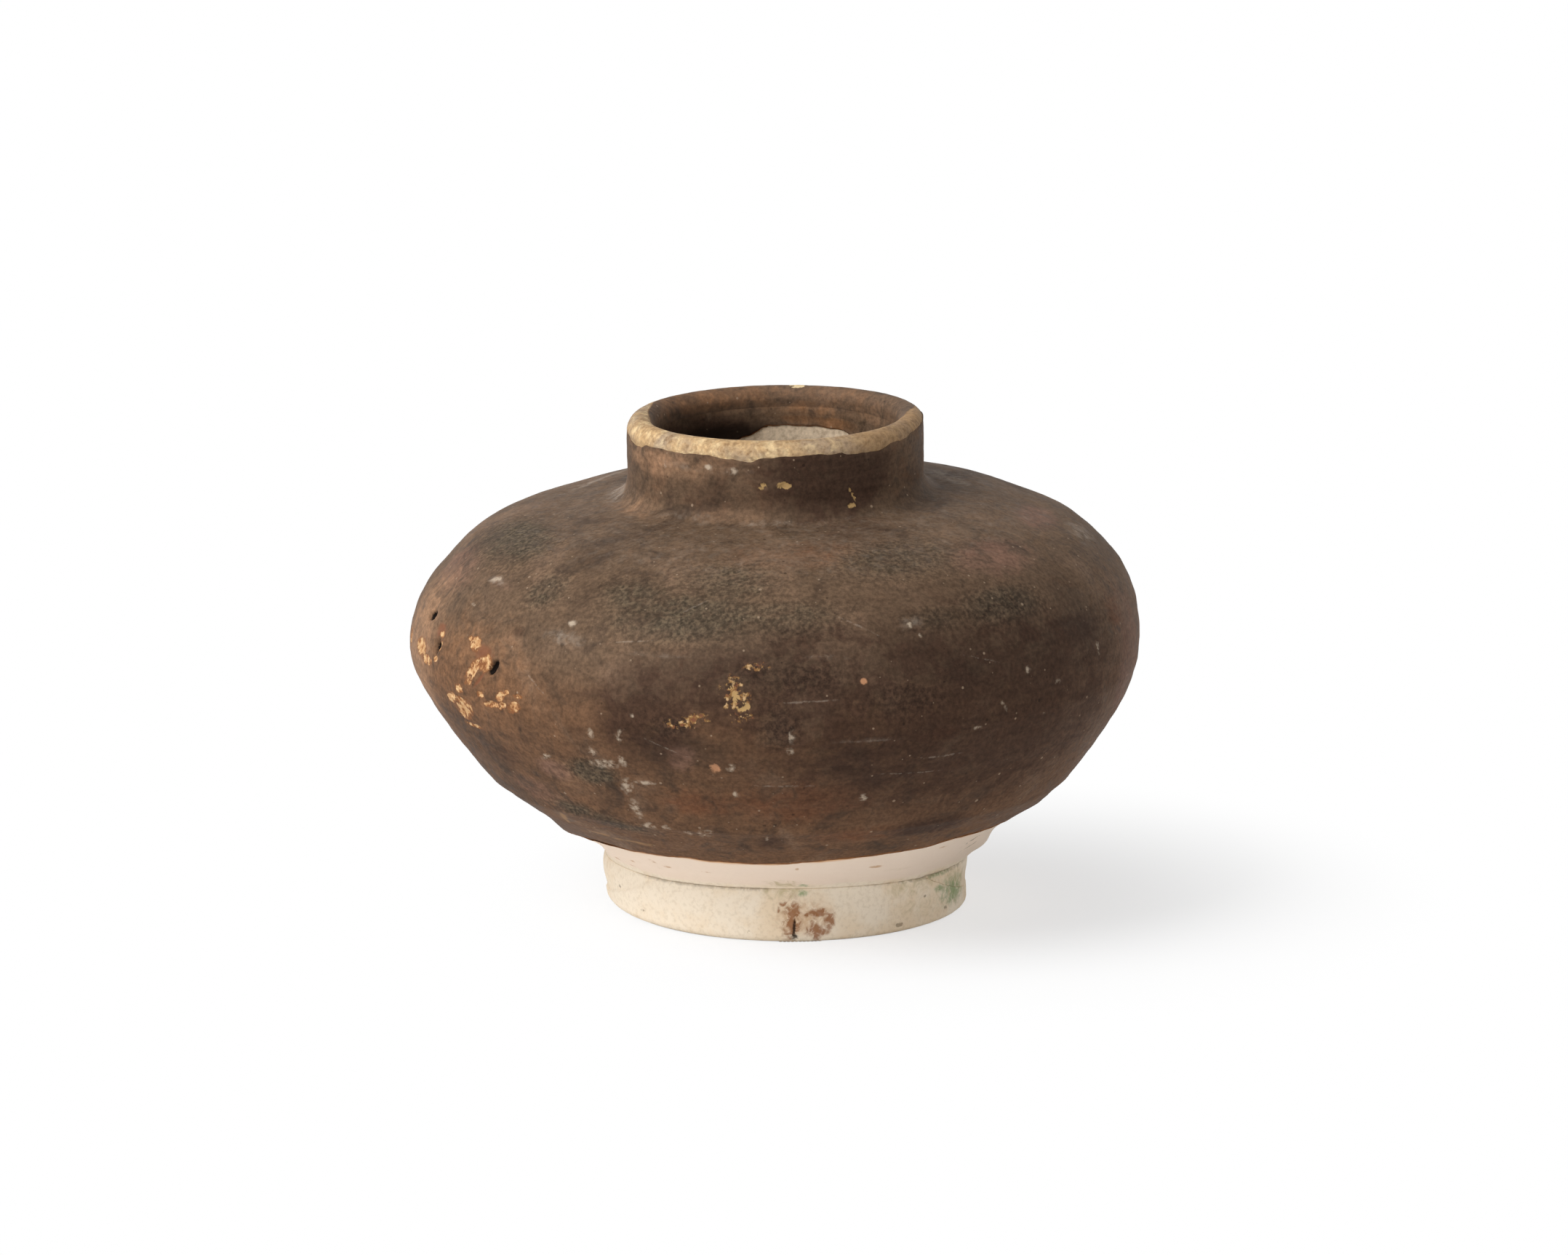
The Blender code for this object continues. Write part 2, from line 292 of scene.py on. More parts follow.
# A curve bulges three quarters as far as its two handles reach
BULGE_SHARE = 4.0 / 3.0
TILT_EASE = 8.0 * MM
SAG_REACH = 6.0 * MM
FOOT_EDGE = 1.0 * MM
GROOVE_DEPTH = 0.14 * MM
COIL_DIMPLE = 0.5 * MM
COIL_DIMPLE_SIZE = 9.0 * MM
COIL_ROUNDING = 1.6 * MM
# Steps of the flank and of the shoulder, and where among them the coil starts and ends
FLANK_COIL_STEPS, COIL_START = 18, 12
SHOULDER_COIL_STEPS, COIL_END = 27, 7
PLACE_ROUNDS = 6
# Steps along the underside, flank, shoulder, fillet and neck, to find places and for the coat's two sides
LINE_STEPS = (16, 30, 60, 8, 8)
COAT_STEPS = (16, 34, 64, 9, 14)
COAT_BACK_STEPS = (6, 18, 34, 4, 4)


class TurnedForm:
    """The form that all pieces share, worked out from the sizes."""

    def __init__(self, sizes):
        self.size = sizes
        self.knuckle_level = sizes.foot_height + sizes.knuckle_rise
        self.girth_level = self.knuckle_level + sizes.girth_rise
        self.shoulder_level = self.girth_level + sizes.shoulder_rise
        self.rim_level = self.shoulder_level + sizes.neck_rise
        self.bore_radius = sizes.neck_radius - sizes.neck_wall
        self.foot_bore_radius = sizes.foot_radius - sizes.foot_wall
        self.clay_depth = sizes.glaze_coat + CLEARANCE
        self.inside_depth = self.clay_depth + sizes.body_wall
        self.coil_depth = self.inside_depth + CLEARANCE
        self.underside_start = flat(sizes.foot_radius, sizes.foot_height + CLEARANCE)
        self.knuckle = flat(sizes.knuckle_radius, self.knuckle_level)
        self.underside = self.knuckle - self.underside_start
        self.climb = self.underside.normalized()
        self.underside_angle = math.atan2(self.underside.z, self.underside.x)
        rise = sizes.neck_fillet * (1.0 - math.sin(sizes.shoulder_slope)) / math.cos(sizes.shoulder_slope)
        self.fillet_centre = flat(sizes.neck_radius + sizes.neck_fillet, self.shoulder_level + rise)
        self.glaze_stop_level = self.rim_level - GLAZE_STOP
        self.inner_stop_level = self.glaze_stop_level - INNER_GLAZE_DEPTH
        self.glaze_line = self.underside.length * GLAZE_LINE_SHARE
        self.line = self.outside()

    def knuckle_point(self, depth):
        """The corner between the turned underside and the flank, mitred to the depth."""
        middle = (self.underside_angle + self.size.flank_angle) / 2.0
        half_turn = (self.size.flank_angle - self.underside_angle) / 2.0
        return self.knuckle + inward(middle) * (depth / math.cos(half_turn))

    def underside_point(self, along, depth):
        """A point of the straight underside, counted up from the foot."""
        on_line = self.underside_start + self.climb * along
        return on_line + inward(self.underside_angle) * depth

    def flank(self, depth, steps):
        """The curve from the knuckle up to the girth."""
        start = self.knuckle_point(depth)
        end = flat(self.size.girth_radius - depth, self.girth_level)
        span = (end - start).length
        start_handle = start + direction(self.size.flank_angle) * (span * FLANK_SHARES[0])
        return curve(start, start_handle, end - flat(0.0, span * FLANK_SHARES[1]), end, steps)

    def landing_point(self, depth, along):
        """A point of the straight slope round the neck, counted outwards from the fillet."""
        slope = -self.size.shoulder_slope
        fillet_foot = self.fillet_centre - inward(slope) * (self.size.neck_fillet + depth)
        return fillet_foot + direction(slope) * along

    def shoulder(self, depth, steps):
        """The dome from the girth up to the landing round the neck."""
        start = flat(self.size.girth_radius - depth, self.girth_level)
        end = self.landing_point(depth, COLLAR_LANDING)
        start_handle = start + flat(0.0, (end.z - start.z) * SHOULDER_SHARES[0])
        end_handle = end + direction(-self.size.shoulder_slope) * ((start.x - end.x) * SHOULDER_SHARES[1])
        return curve(start, start_handle, end_handle, end, steps)

    def fillet(self, depth, steps):
        """The hollow fillet, from the landing round to the neck's upright wall."""
        start = 270.0 - math.degrees(self.size.shoulder_slope)
        return arc(self.fillet_centre, self.size.neck_fillet + depth, start, 180.0, steps)

    def seat_level(self):
        """Height of the seat that the neck stands on."""
        return self.landing_point(self.clay_depth, COLLAR_MARGIN).z - COLLAR_FLANGE

    def glazed_side(self, depth, steps):
        """The whole glazed outside at a depth, from the glaze line up to its edge below the lip."""
        line = self.underside_point(self.glaze_line, depth)
        fillet = self.fillet(depth, steps[3])
        edge = flat(fillet[-1].x, self.glaze_stop_level)
        return joined(
            straight(line, self.knuckle_point(depth), steps[0]),
            self.flank(depth, steps[1]),
            self.shoulder(depth, steps[2]),
            fillet,
            straight(fillet[-1], edge, steps[4]),
        )

    def outside(self):
        """Radius and height up the whole outside, foot to lip, for finding places on it."""
        side = self.glazed_side(0.0, LINE_STEPS)
        line = [flat(self.size.foot_radius, 0.0), self.underside_start] + side
        line.append(flat(self.size.neck_radius, self.rim_level))
        return np.array([(point.x, point.z) for point in line])

    def warp(self, points):
        """Carries points of the true turned form to their places on the warped jar."""
        x, y, z = points.T
        below = np.clip(1.0 - z / self.girth_level, 0.0, 1.0)
        above = smooth((z - self.girth_level) / TILT_EASE)
        lean = math.tan(self.size.shoulder_tilt)
        sideways = x / np.maximum(np.hypot(x, y), TINY)
        sag = sideways ** 2 * np.where(x > 0.0, self.size.joint_sag_right, self.size.joint_sag_left)
        joint = self.size.foot_height
        near_joint = np.clip(np.minimum(z / joint, 1.0 - (z - joint) / SAG_REACH), 0.0, 1.0)
        return np.column_stack([
            x + self.size.foot_offset * below, y, z + lean * x * above - sag * near_joint,
        ])

    def place(self, degrees, height):
        """The point of the warped outside that is seen at a bearing and a height."""
        target = math.radians(degrees)
        bearing, level = target, height
        for _ in range(PLACE_ROUNDS):
            radius = float(np.interp(level, self.line[:, 1], self.line[:, 0]))
            turned = np.array([[radius * math.sin(bearing), -radius * math.cos(bearing), level]])
            point = self.warp(turned)[0]
            bearing += target - math.atan2(point[0], -point[1])
            level += height - point[2]
        return point


# Wear, read off the jar: bearing in degrees from the front towards +X, the rest in millimetres


class Mark(NamedTuple):
    """A small mark with a clear edge. Turn leans its top towards +X; depth is how far it is sunk."""

    kind: str
    bearing: float
    height: float
    width: float
    length: float
    turn: float = 0.0
    depth: float = 0.0


class Zone(NamedTuple):
    """A broad soft tone that fades out all round."""

    kind: str
    bearing: float
    height: float
    width: float
    length: float
    strength: float
    turn: float = 0.0


def marks(kind, depth, *rows):
    """Marks of one kind and depth, each row a bearing, height, width, length and perhaps a turn."""
    return [Mark(kind, *row, depth=depth) for row in rows]


def zones(kind, *rows):
    """Zones of one kind, each row a bearing, height, width, length, strength and perhaps a turn."""
    return [Zone(kind, *row) for row in rows]


COAT_MARKS = [
    # the knocks on the left of the girth: holes, bare chips and their rusty edges
    # the pits are painted near black: their dirt and the painted shade inside them
    *marks("pit", 0.9, (-74, 51.6, 2.9, 1.7, -20)),
    *marks("pit", 1.0, (-67.4, 47.9, 1.5, 2.8, 5), (-50.0, 48.0, 1.6, 3.0, 36)),
    *marks("red", 0.2, (-52.8, 45.6, 0.6, 3.6, 42)),
    *marks("red", 0.1, (-67.6, 50.4, 3.4, 2.5)),
    *marks("red", 0.2, (-53, 49.5, 4.6, 2.8)),
    *marks("chip", 0.2, (-66.7, 50, 1.5, 0.9), (-74.4, 46.3, 4.5, 2.4), (-70.8, 45, 3.7, 1.3),
           (-66.2, 48.3, 0.9, 1.5), (-67, 46, 1.3, 0.9), (-55.6, 50.7, 2.3, 1.9), (-57.5, 51.3, 1.1, 0.7),
           (-52.0, 48.4, 2.2, 2.4, 36), (-54.6, 46.9, 1.8, 4.6, 38), (-55.5, 44.7, 1.1, 0.8),
           (-58.4, 43, 1.8, 1.1), (-61.5, 40.8, 2.9, 1.4, -20), (-58.2, 39.4, 4.9, 2.7, -24),
           (-58.6, 40.9, 2.6, 1.3), (-57.6, 36.7, 4.1, 0.7), (-52.3, 43.2, 1.6, 0.9),
           (-49.6, 42.1, 3.2, 0.9, -10), (-47.5, 43.8, 1.2, 1.8, 58), (-47.1, 42.3, 1.8, 1.0, -27),
           (-44.5, 42.5, 2.5, 1.4, -29), (-43.6, 44.5, 1.6, 0.6), (-46.1, 44.7, 1.0, 0.7)),
    # the ochre bloom in the middle, and the orange dots
    *marks("gold", 0, (-6, 47.7, 4.4, 7.2, -15), (-13.5, 44, 6.7, 2.1, -11), (-3, 52.9, 3.9, 1.4)),
    *marks("ochre", 0.1, (-6, 48.2, 1.2, 1.9)),
    *marks("ochre", 0.12, (-4.9, 46.6, 2.3, 1.4)),
    *marks("ochre", 0.1, (-7.1, 49.7, 0.8, 0.8)),
    *marks("dot", 0.15, (-9.8, 35.8, 1.8, 1.8)),
    *marks("dot", 0.1, (13.7, 50.3, 1.1, 1.1)),
    # whitish crusts low on the left, and small ones all over
    *marks("crust", -0.05, (-28.8, 34.9, 4.7, 1.8, -8), (-25.3, 35.9, 1.2, 2.2), (-26, 30.9, 2.0, 3.6, 19),
           (-26.1, 26.6, 1.8, 4.7, -3), (-25, 23.2, 2.2, 1.6), (-21.2, 23.2, 1.7, 1.1)),
    *marks("crust", -0.04, (-17.3, 22.3, 1.2, 2.1)),
    *marks("crust", -0.05, (-13.8, 22.4, 2.1, 3.0, 41)),
    *marks("crust", -0.03, (-1.7, 21.5, 0.6, 1.5)),
    *marks("crust", -0.04, (-29.8, 40.3, 1.1, 1.7), (-24.7, 40.5, 1.0, 2.8, 18), (-30.3, 36.9, 1.4, 2.2),
           (-40.7, 34.5, 2.9, 0.9, -31), (-22.4, 32, 3.2, 0.9), (-7.1, 36, 1.7, 1.2, -58)),
    *marks("crust", -0.03, (-6.9, 31, 0.6, 1.7)),
    *marks("crust", -0.04, (2.3, 41.9, 0.6, 2.5), (2.3, 39.2, 1.5, 1.1, 38)),
    *marks("crust", -0.03, (37.6, 44, 2.3, 0.5, 58), (46.3, 41.3, 1.1, 0.5), (32.8, 41, 1.7, 0.6),
           (15.2, 29.8, 1.3, 1.7), (49.2, 45.9, 1.6, 0.8), (42.7, 49, 0.9, 1.4), (61.2, 49.1, 1.2, 2.1),
           (22.7, 58.1, 0.9, 1.1), (24.1, 56.5, 0.6, 0.7), (-36.2, 56.9, 1.6, 1.2),
           (-60.5, 59.8, 2.8, 1.3, -25), (-61.4, 55.9, 1.6, 0.6), (-22.3, 44.3, 0.9, 0.6)),
    # the neck: ochre chips, and pale rubs
    *marks("ochre", 0.12, (-4.8, 74.6, 1.3, 1.1)),
    *marks("ochre", 0.15, (3.3, 74.8, 2.0, 1.2)),
    *marks("ochre", 0.12, (31.1, 72.6, 0.6, 2.5, -30), (30.2, 70.9, 1.3, 0.9)),
    *marks("crust", -0.03, (-26.2, 77.3, 1.5, 0.9), (-47.6, 76.4, 0.9, 0.6), (-16.6, 77, 1.7, 1.1)),
    # fine scratches
    *marks("scratch", 0, (1.8, 32.5, 9.3, 0.5), (27.2, 36.7, 6.9, 0.5), (13.5, 58.6, 7.5, 0.35, 32),
           (-24, 55.5, 9, 0.3, -8), (-14, 61, 6, 0.3, -36), (22, 34, 11, 0.35, 3), (-17, 39, 8, 0.3, 24),
           (5, 47.5, 9, 0.35, -2), (34, 52, 7, 0.3, 18), (-40, 47, 8, 0.3, 34)),
    # the sides and the back, worn in the same way
    *marks("crust", -0.03, (128, 46, 1.6, 1.0, 20), (151, 30, 1.2, 2.4, -20), (-141, 38, 2.6, 1.1, 10),
           (-98, 31, 1.2, 2.0, 30)),
    *marks("chip", 0.2, (-93, 44, 1.4, 2.2, 20), (-84, 45.6, 1.6, 2.4, -20), (170, 43, 1.8, 1.2)),
    *marks("dot", 0.1, (108, 57, 1.3, 1.3)),
    *marks("gold", 0, (-165, 53, 5, 4, 30)),
]

COAT_ZONES = [
    # the shoulder, seen from the left to the right
    *zones("film", (-72, 64, 24, 12, 0.9), (-46, 60.5, 8, 8, 0.8), (-25.5, 61.3, 16, 9, 0.6, 9),
           (-14.6, 59.6, 28, 10, 0.8), (-9.5, 63.8, 18, 11, 0.6), (3, 59.6, 18, 8, 0.6),
           (27, 66, 22, 12, 0.6), (41.5, 59, 17, 6.7, 1.0), (28, 58.5, 11.5, 4.2, 0.7)),
    # blush at -79, 49 and 82 lies on the left and right edges: painted sheen there as well as reddish glaze
    *zones("blush", (-79, 58.6, 23, 11, 0.6), (-58, 59.6, 12, 2.7, 0.4), (49, 64.8, 20, 11, 0.7),
           (82, 66.3, 16, 8, 0.8)),
    *zones("rust", (-5, 66.6, 15, 12, 0.35), (9, 66.8, 18, 12, 0.45)),
    *zones("plum", (-46, 54.2, 4.2, 2.2, 0.45), (53.8, 53.1, 22, 7, 0.9), (27, 50.9, 14, 4, 0.6, 6)),
    # dust; round the top of the shoulder, near 63 to 69 high, it is painted sheen as well
    *zones("dust_and_sheen", (-36.4, 54.8, 11, 3, 0.6, 3), (-60.3, 59.7, 6, 1.8, 0.9), (-3.6, 68.9, 14, 2, 0.55),
           (-32, 69, 18, 2.4, 0.5)),
    *zones("pale", (-60, 68.5, 16, 5, 0.5), (-16, 69.5, 16, 4, 0.45)),
    *zones("dust_and_sheen", (-94, 68.5, 16, 4, 0.9), (-19.3, 54, 13.4, 1.0, 0.5), (22.8, 58.3, 5.5, 3.2, 0.5),
           (85, 63, 13, 7, 0.7), (110, 68.8, 17, 5.8, 0.8), (7.7, 54.1, 12.8, 0.9, 0.5)),
    # the belly, seen from the left to the right
    *zones("plum", (-54, 32.3, 13.7, 6.2, 0.45), (-32.6, 40.4, 5.4, 3.1, 0.4),
           (-31.4, 28.9, 11.6, 5, 0.25)),
    *zones("pale", (-36, 31, 14, 10, 0.4)),
    *zones("plum", (-26.2, 46.8, 15, 2.8, 0.6), (-20.0, 44.5, 18, 18, 0.85), (-0.6, 20.6, 5.8, 6.2, 0.7),
           (8, 44.5, 36, 10, 0.8), (13, 36.3, 18, 4.1, 0.8), (28, 35.6, 21, 7, 0.9, 12),
           (31.8, 22.1, 17.5, 7, 0.8), (36.2, 45.3, 14, 7.2, 0.7), (46.9, 37.3, 18, 9, 0.5),
           (33, 43, 76, 36, 0.85), (2, 50, 50, 16, 0.8), (8, 56, 36, 9, 0.6), (22, 76, 24, 16, 0.95),
           (-14, 71.5, 26, 5, 0.3)),
    *zones("dust_and_sheen", (-30, 77.0, 24, 2.0, 0.4)),
    *zones("rust", (-58, 75.7, 8, 5, 0.4)),
    *zones("pale", (-50, 76.5, 24, 5, 0.6)),
    *zones("film", (-41.5, 24.2, 9.6, 4.3, 0.8), (-32, 32.8, 10, 6.3, 1.0), (-32, 22.4, 13.5, 4.3, 0.8, 14),
           (-16.4, 42.8, 7.3, 3.7, 0.6), (0.4, 43.4, 6.9, 7, 0.7), (2.7, 51.4, 18.5, 5.8, 0.6),
           (19.7, 47.2, 15, 5.8, 0.5)),
    # the blush at 72.5 lies on the right edge: painted sheen there as well as reddish glaze
    *zones("blush", (-49.3, 26.6, 14, 7, 0.5), (-40.3, 32, 7.9, 5, 0.8), (-14.9, 37.4, 5, 6.3, 0.8),
           (72.5, 40.5, 8, 11, 0.9, -30)),
    *zones("rust", (-13.6, 28.7, 14.3, 7.4, 0.7), (3.5, 29, 24, 11, 0.8), (16.3, 21.8, 19.6, 6.2, 0.6),
           (26.8, 40.7, 10.7, 3, 0.7), (70, 53, 8, 9, 0.6)),
    # pale at -78, -84, 88 and blush at 76 lie on the edges: painted sheen as well as rubbed, reddish glaze
    *zones("pale", (-78, 46, 22, 26, 0.9)),
    *zones("warm", (-56, 45, 36, 22, 0.6)),
    *zones("pale", (-84, 27, 12, 16, 0.6), (88, 40, 8, 30, 0.5)),
    *zones("blush", (76, 46, 16, 26, 0.6)),
    *zones("thin", (-49.4, 20.9, 7, 1.6, 0.9, -60), (-44.4, 18.3, 6, 1.4, 0.9),
           (-35.1, 17.9, 10, 1.4, 0.9)),
    *zones("dust_and_sheen", (14.6, 40.7, 15.6, 1.0, 0.5)),
    # the sides and the back, worn in the same way
    *zones("film", (118, 52, 30, 12, 0.8, 10), (160, 60, 34, 8, 0.8), (-150, 45, 26, 14, 0.8),
           (-112, 60, 20, 8, 0.8)),
    *zones("plum", (140, 32, 30, 8, 0.8), (-168, 36, 34, 9, 0.5), (-118, 47, 22, 6, 0.7)),
    *zones("rust", (100, 34, 18, 10, 0.7), (-140, 28, 24, 8, 0.7)),
    *zones("blush", (178, 40, 30, 8, 0.6), (-120, 36, 24, 9, 0.6)),
    # dust and painted sheen round the top of the shoulder
    *zones("dust_and_sheen", (150, 67.5, 30, 3.4, 0.8), (-130, 66.8, 34, 3.4, 0.8)),
]

MOUTH_ZONES = [
    # thin orange-brown glaze above the bare clay low in the mouth, and the paler back wall
    *zones("wash", (150, 76.0, 9, 2.2, 0.9), (165, 76.4, 9, 2.0, 0.8), (164, 78.3, 9, 3.4, 0.7),
           (150, 80, 40, 7, 0.45), (-150, 80.5, 34, 5, 0.6)),
    # near-black painted shade low on the left inside the mouth, where the near lip shades it
    *zones("mouth_shade", (-148, 73.0, 36, 6, 1.0)),
    # darker plum glaze deep in the left of the mouth, with painted shade there
    *zones("plum", (-128, 74.0, 30, 8, 1.0)),
]

LIP_MARKS = marks("rub", 0, (170.5, 82.0, 2.2, 3.4))

FOOT_MARKS = [
    # the crack with its iron rosette, and the nick that it ends in
    *marks("crack", 0.3, (5.9, 2.6, 0.5, 3.6, 4)),
    *marks("crack", 0.4, (6.1, 0.9, 1.1, 1.6)),
    *marks("stain", 0, (5.0, 3.8, 2.8, 6.4, 4), (17.0, 3.6, 1.7, 3.0, 12), (12.4, 1.9, 4.0, 1.5, 80),
           (12.7, 1.9, 4.0, 1.6), (13.4, 5.0, 3.4, 1.2), (2.7, 6.6, 1.4, 1.0), (0.9, 5.6, 0.5, 1.1),
           (9.7, 4.7, 0.7, 0.7)),
    *marks("green", 0, (8.5, 8.3, 1.7, 1.1), (69, 4.2, 9.5, 4.4), (60, 5.6, 3.0, 1.4),
           (61.4, 7.9, 7.4, 1.0)),
    *marks("dirt", 0.1, (41.1, 1.4, 1.5, 0.7)),
    *marks("dirt", 0.05, (-8.6, 1.7, 0.5, 0.5), (-50.5, 2.5, 1.0, 0.5)),
    *marks("dirt", 0, (52, 5.2, 0.7, 0.5), (63, 2.0, 0.8, 0.6), (-66, 4.8, 1.2, 0.5)),
    *marks("green", 0, (-150, 5, 9, 4)),
]

FOOT_ZONES = [
    *zones("haze", (9, 4.2, 11.4, 6.8, 0.9)),
    *zones("tinge", (2.2, 8.6, 8, 3, 0.9), (47.3, 7.4, 15.6, 3.7, 0.7), (52, 3.6, 17, 5, 0.5),
           (70, 5, 14, 7, 0.8), (160, 4, 30, 5, 0.8)),
    *zones("haze", (-120, 3, 16, 4, 0.6)),
]

UNDERSIDE_MARKS = [
    *marks("soil", 0, (-36, 13.0, 1.4, 1.0, 30), (-32, 12.2, 1.6, 0.8), (-60.3, 9.9, 1.8, 0.6),
           (-47, 11.3, 1.1, 0.7), (-52, 9.7, 1.5, 0.5), (-20, 12.1, 1.6, 0.5), (46, 14.8, 1.8, 0.6),
           (5.6, 13.6, 0.6, 1.0), (27.4, 12.9, 2.4, 0.8)),
    *marks("dirt", 0.12, (60.6, 14.2, 0.6, 4.6, 40), (63.6, 12.2, 0.6, 3.4, 40)),
    *marks("green", 0, (8.5, 9.7, 1.7, 1.0)),
]

UNDERSIDE_ZONES = [
    *zones("tinge", (3, 10.2, 8, 3, 0.8), (-40, 11.6, 12, 2, 0.4), (36, 11.5, 8, 1.4, 0.5)),
]

# Slow presses and swellings of the skin: bearing, height, half width, half height, outward push
PRESSES = [
    (-95, 66.8, 26, 6.0, -0.80), (95, 66.8, 26, 6.0, -0.75), (95, 60.5, 30, 5.0, -0.35),
    (-90, 57.5, 20, 5.0, -0.75), (-90, 20.8, 18, 1.8, -0.25), (-90, 13.8, 14, 2.6, 1.05),
    (-90, 9.9, 16, 2.2, -0.95), (-90, 6.2, 14, 3.0, 0.85), (88, 41, 18, 4.0, -0.35),
    (90, 18.6, 16, 2.4, 0.9), (92, 10.6, 12, 2.2, 1.10), (92, 7.4, 14, 2.6, 0.85),
    (150, 50, 26, 9.0, -0.35), (-140, 33, 22, 8.0, -0.30),
]

# Edges of the glaze by bearing: millimetres up the underside from the foot, and heights near the lip
GLAZE_LINE = [
    (-168, 11.4), (-140, 10.6), (-112, 9.0), (-88, 7.0), (-75, 7.8), (-66, 8.7), (-57, 9.4),
    (-52.4, 9.6), (-43.8, 9.7), (-33, 10.4), (-24.3, 10.9), (-16.3, 10.3), (-8.4, 10.1), (-0.9, 10.1),
    (8.4, 11.0), (14.7, 11.4), (21.9, 11.9), (33.6, 12.3), (44.1, 13.6), (53.2, 13.4), (64, 13.8),
    (73, 15.6), (88, 15.2), (105, 13.2), (128, 10.4), (150, 11.3), (172, 10.7),
]
NECK_EDGE = [
    (-165, 80.6), (-140, 80.4), (-115, 80.3), (-95, 79.9), (-81, 79.3), (-70, 78.2), (-65.8, 78.4),
    (-58, 79.2), (-50, 79.4), (-37.6, 79.3), (-25.3, 79.3), (-16.3, 78.9), (-9, 78.4), (-5.2, 79.1),
    (4.4, 79.4), (9.7, 79.6), (17.4, 79.5), (25.3, 79.3), (30, 78.8), (44.2, 78.8), (55, 79.5),
    (73.4, 80.1), (95, 80.5), (125, 80.6), (155, 80.4),
]
INNER_EDGE = [
    (-168, 73.8), (-158, 72.4), (-110, 72.2), (-60, 73.0), (0, 73.4), (50, 73.0), (90, 72.4),
    (131, 72.6), (140, 73.8), (147, 74.7), (162, 75.1), (173, 75.1), (183, 74.9),
]
# Where the glaze reaches over the lip: the bare lip runs from outside to this angle round its section
BARE_LIP = [
    (-180, -60), (-158, -60), (-146, 0), (-134, 45), (-120, 80), (-104, 112), (-88, 140), (-60, 158),
    (-20, 165), (20, 165), (52, 160), (72, 140), (86, 108), (98, 66), (108, 20), (120, -60),
]
# Angles round the lip's section: from which it is glazed all round, how soft the glaze's edge is, and
# where the inside wall starts and what it counts as
ALL_GLAZED, LIP_FADE, INSIDE_SECTION, WELL_INSIDE = -55.0, 34.0, -120.0, 200.0
# How dull and stained the bare lip is, by bearing
DULL_LIP = [(-160, 0.4), (-90, 0.1), (-50, 0.0), (-10, 0.25), (20, 0.45), (45, 0.75), (80, 0.8), (120, 0.5)]
# How round the foot's lower edge is worn: its middle, how much that swings, and the bearing it swings about
EDGE_WEAR, EDGE_WEAR_SWING, EDGE_WEAR_TURN = 1.5, 0.6, 8.0
# How dark the joint between foot ring and bowl is painted, by bearing: dirt and the ledge's painted shade
JOINT_DIRT_AND_SHADE = [
    (-120, 0.3), (-60, 0.25), (-44, 0.8), (-30, 0.9), (-5, 0.9), (1, 0.3), (8, 0.1), (14, 0.35),
    (30, 0.5), (50, 0.8), (72, 0.9), (90, 0.6), (130, 0.3), (180, 0.3),
]
# The short step that tells which way is up along the skin at a mark
UP_STEP = 0.2 * MM


def by_bearing(table, degrees):
    """Reads a table of values round the jar, easing from one to the next."""
    bearings, values = np.array(table, float).T
    bearings = np.concatenate([bearings[-1:] - 360.0, bearings, bearings[:1] + 360.0])
    values = np.concatenate([values[-1:], values, values[:1]])
    index = np.clip(np.searchsorted(bearings, degrees) - 1, 0, len(bearings) - 2)
    part = smooth((degrees - bearings[index]) / (bearings[index + 1] - bearings[index]))
    return values[index] * (1.0 - part) + values[index + 1] * part


def bearings_of(points):
    """Bearing of each point in degrees, from the front towards +X."""
    return np.degrees(np.arctan2(points[:, 0], -points[:, 1]))


def reached(mark, form, points, widest):
    """The points that lie near a mark and their distance from its middle, 1 at the mark's edge."""
    middle = form.place(mark.bearing, mark.height * MM)
    radius = max(mark.width, mark.length) / 2.0 * widest * MM
    near = np.flatnonzero(((points - middle) ** 2).sum(axis=1) < radius ** 2)
    upward = form.place(mark.bearing, mark.height * MM + UP_STEP) - middle
    upward /= np.linalg.norm(upward)
    bearing, lean = math.radians(mark.bearing), math.radians(mark.turn)
    across = np.array([math.cos(bearing), math.sin(bearing), 0.0])
    offsets = points[near] - middle
    u, v = offsets @ across, offsets @ upward
    side = (u * math.cos(lean) - v * math.sin(lean)) / (mark.width * MM / 2.0)
    run = (u * math.sin(lean) + v * math.cos(lean)) / (mark.length * MM / 2.0)
    return near, np.hypot(side, run)


def noise_at(points, size, shift=0.0):
    """Smooth noise from -1 to 1 at each point, with features of the size."""
    places = (points / size + shift).tolist()
    return np.array([noise.noise(place) for place in places])


# Making pieces

COAT_SEGMENTS = 300
CLAY_SEGMENTS = 280
COIL_SEGMENTS = 160
REFINE_CUTS = 3
# In millimetres, as marks are: the margin of finer mesh round a mark, the depth from which a mark also
# dents the clay behind the glaze, and how much wider and deeper it is there
REFINE_MARGIN = 1.4
DEEP, BEHIND_MARGIN, BEHIND_DEPTH = 0.4, 1.6, 0.2
# How much nearer a deep mark's middle counts on the hidden side of a piece, which widens its dent there
BEHIND_SHARE = 0.7
# How far marks reach, in half widths of the mark: how far points are looked at, and where it has gone
REFINE_REACH, REFINE_END = 1.5, 1.35
MARK_REACH, MARK_END, DENT_END = 1.9, 1.8, 1.45
ZONE_REACH, ZONE_END, ZONE_FADE = 1.7, 1.6, 1.3
PRESS_REACH = 2.5
# How uneven the depth of a shallow mark is, the size of its lumps, and how far they may deepen it
LUMPS, LUMP_SIZE, LUMP_LIMIT = 2.2, 1.1 * MM, 1.3
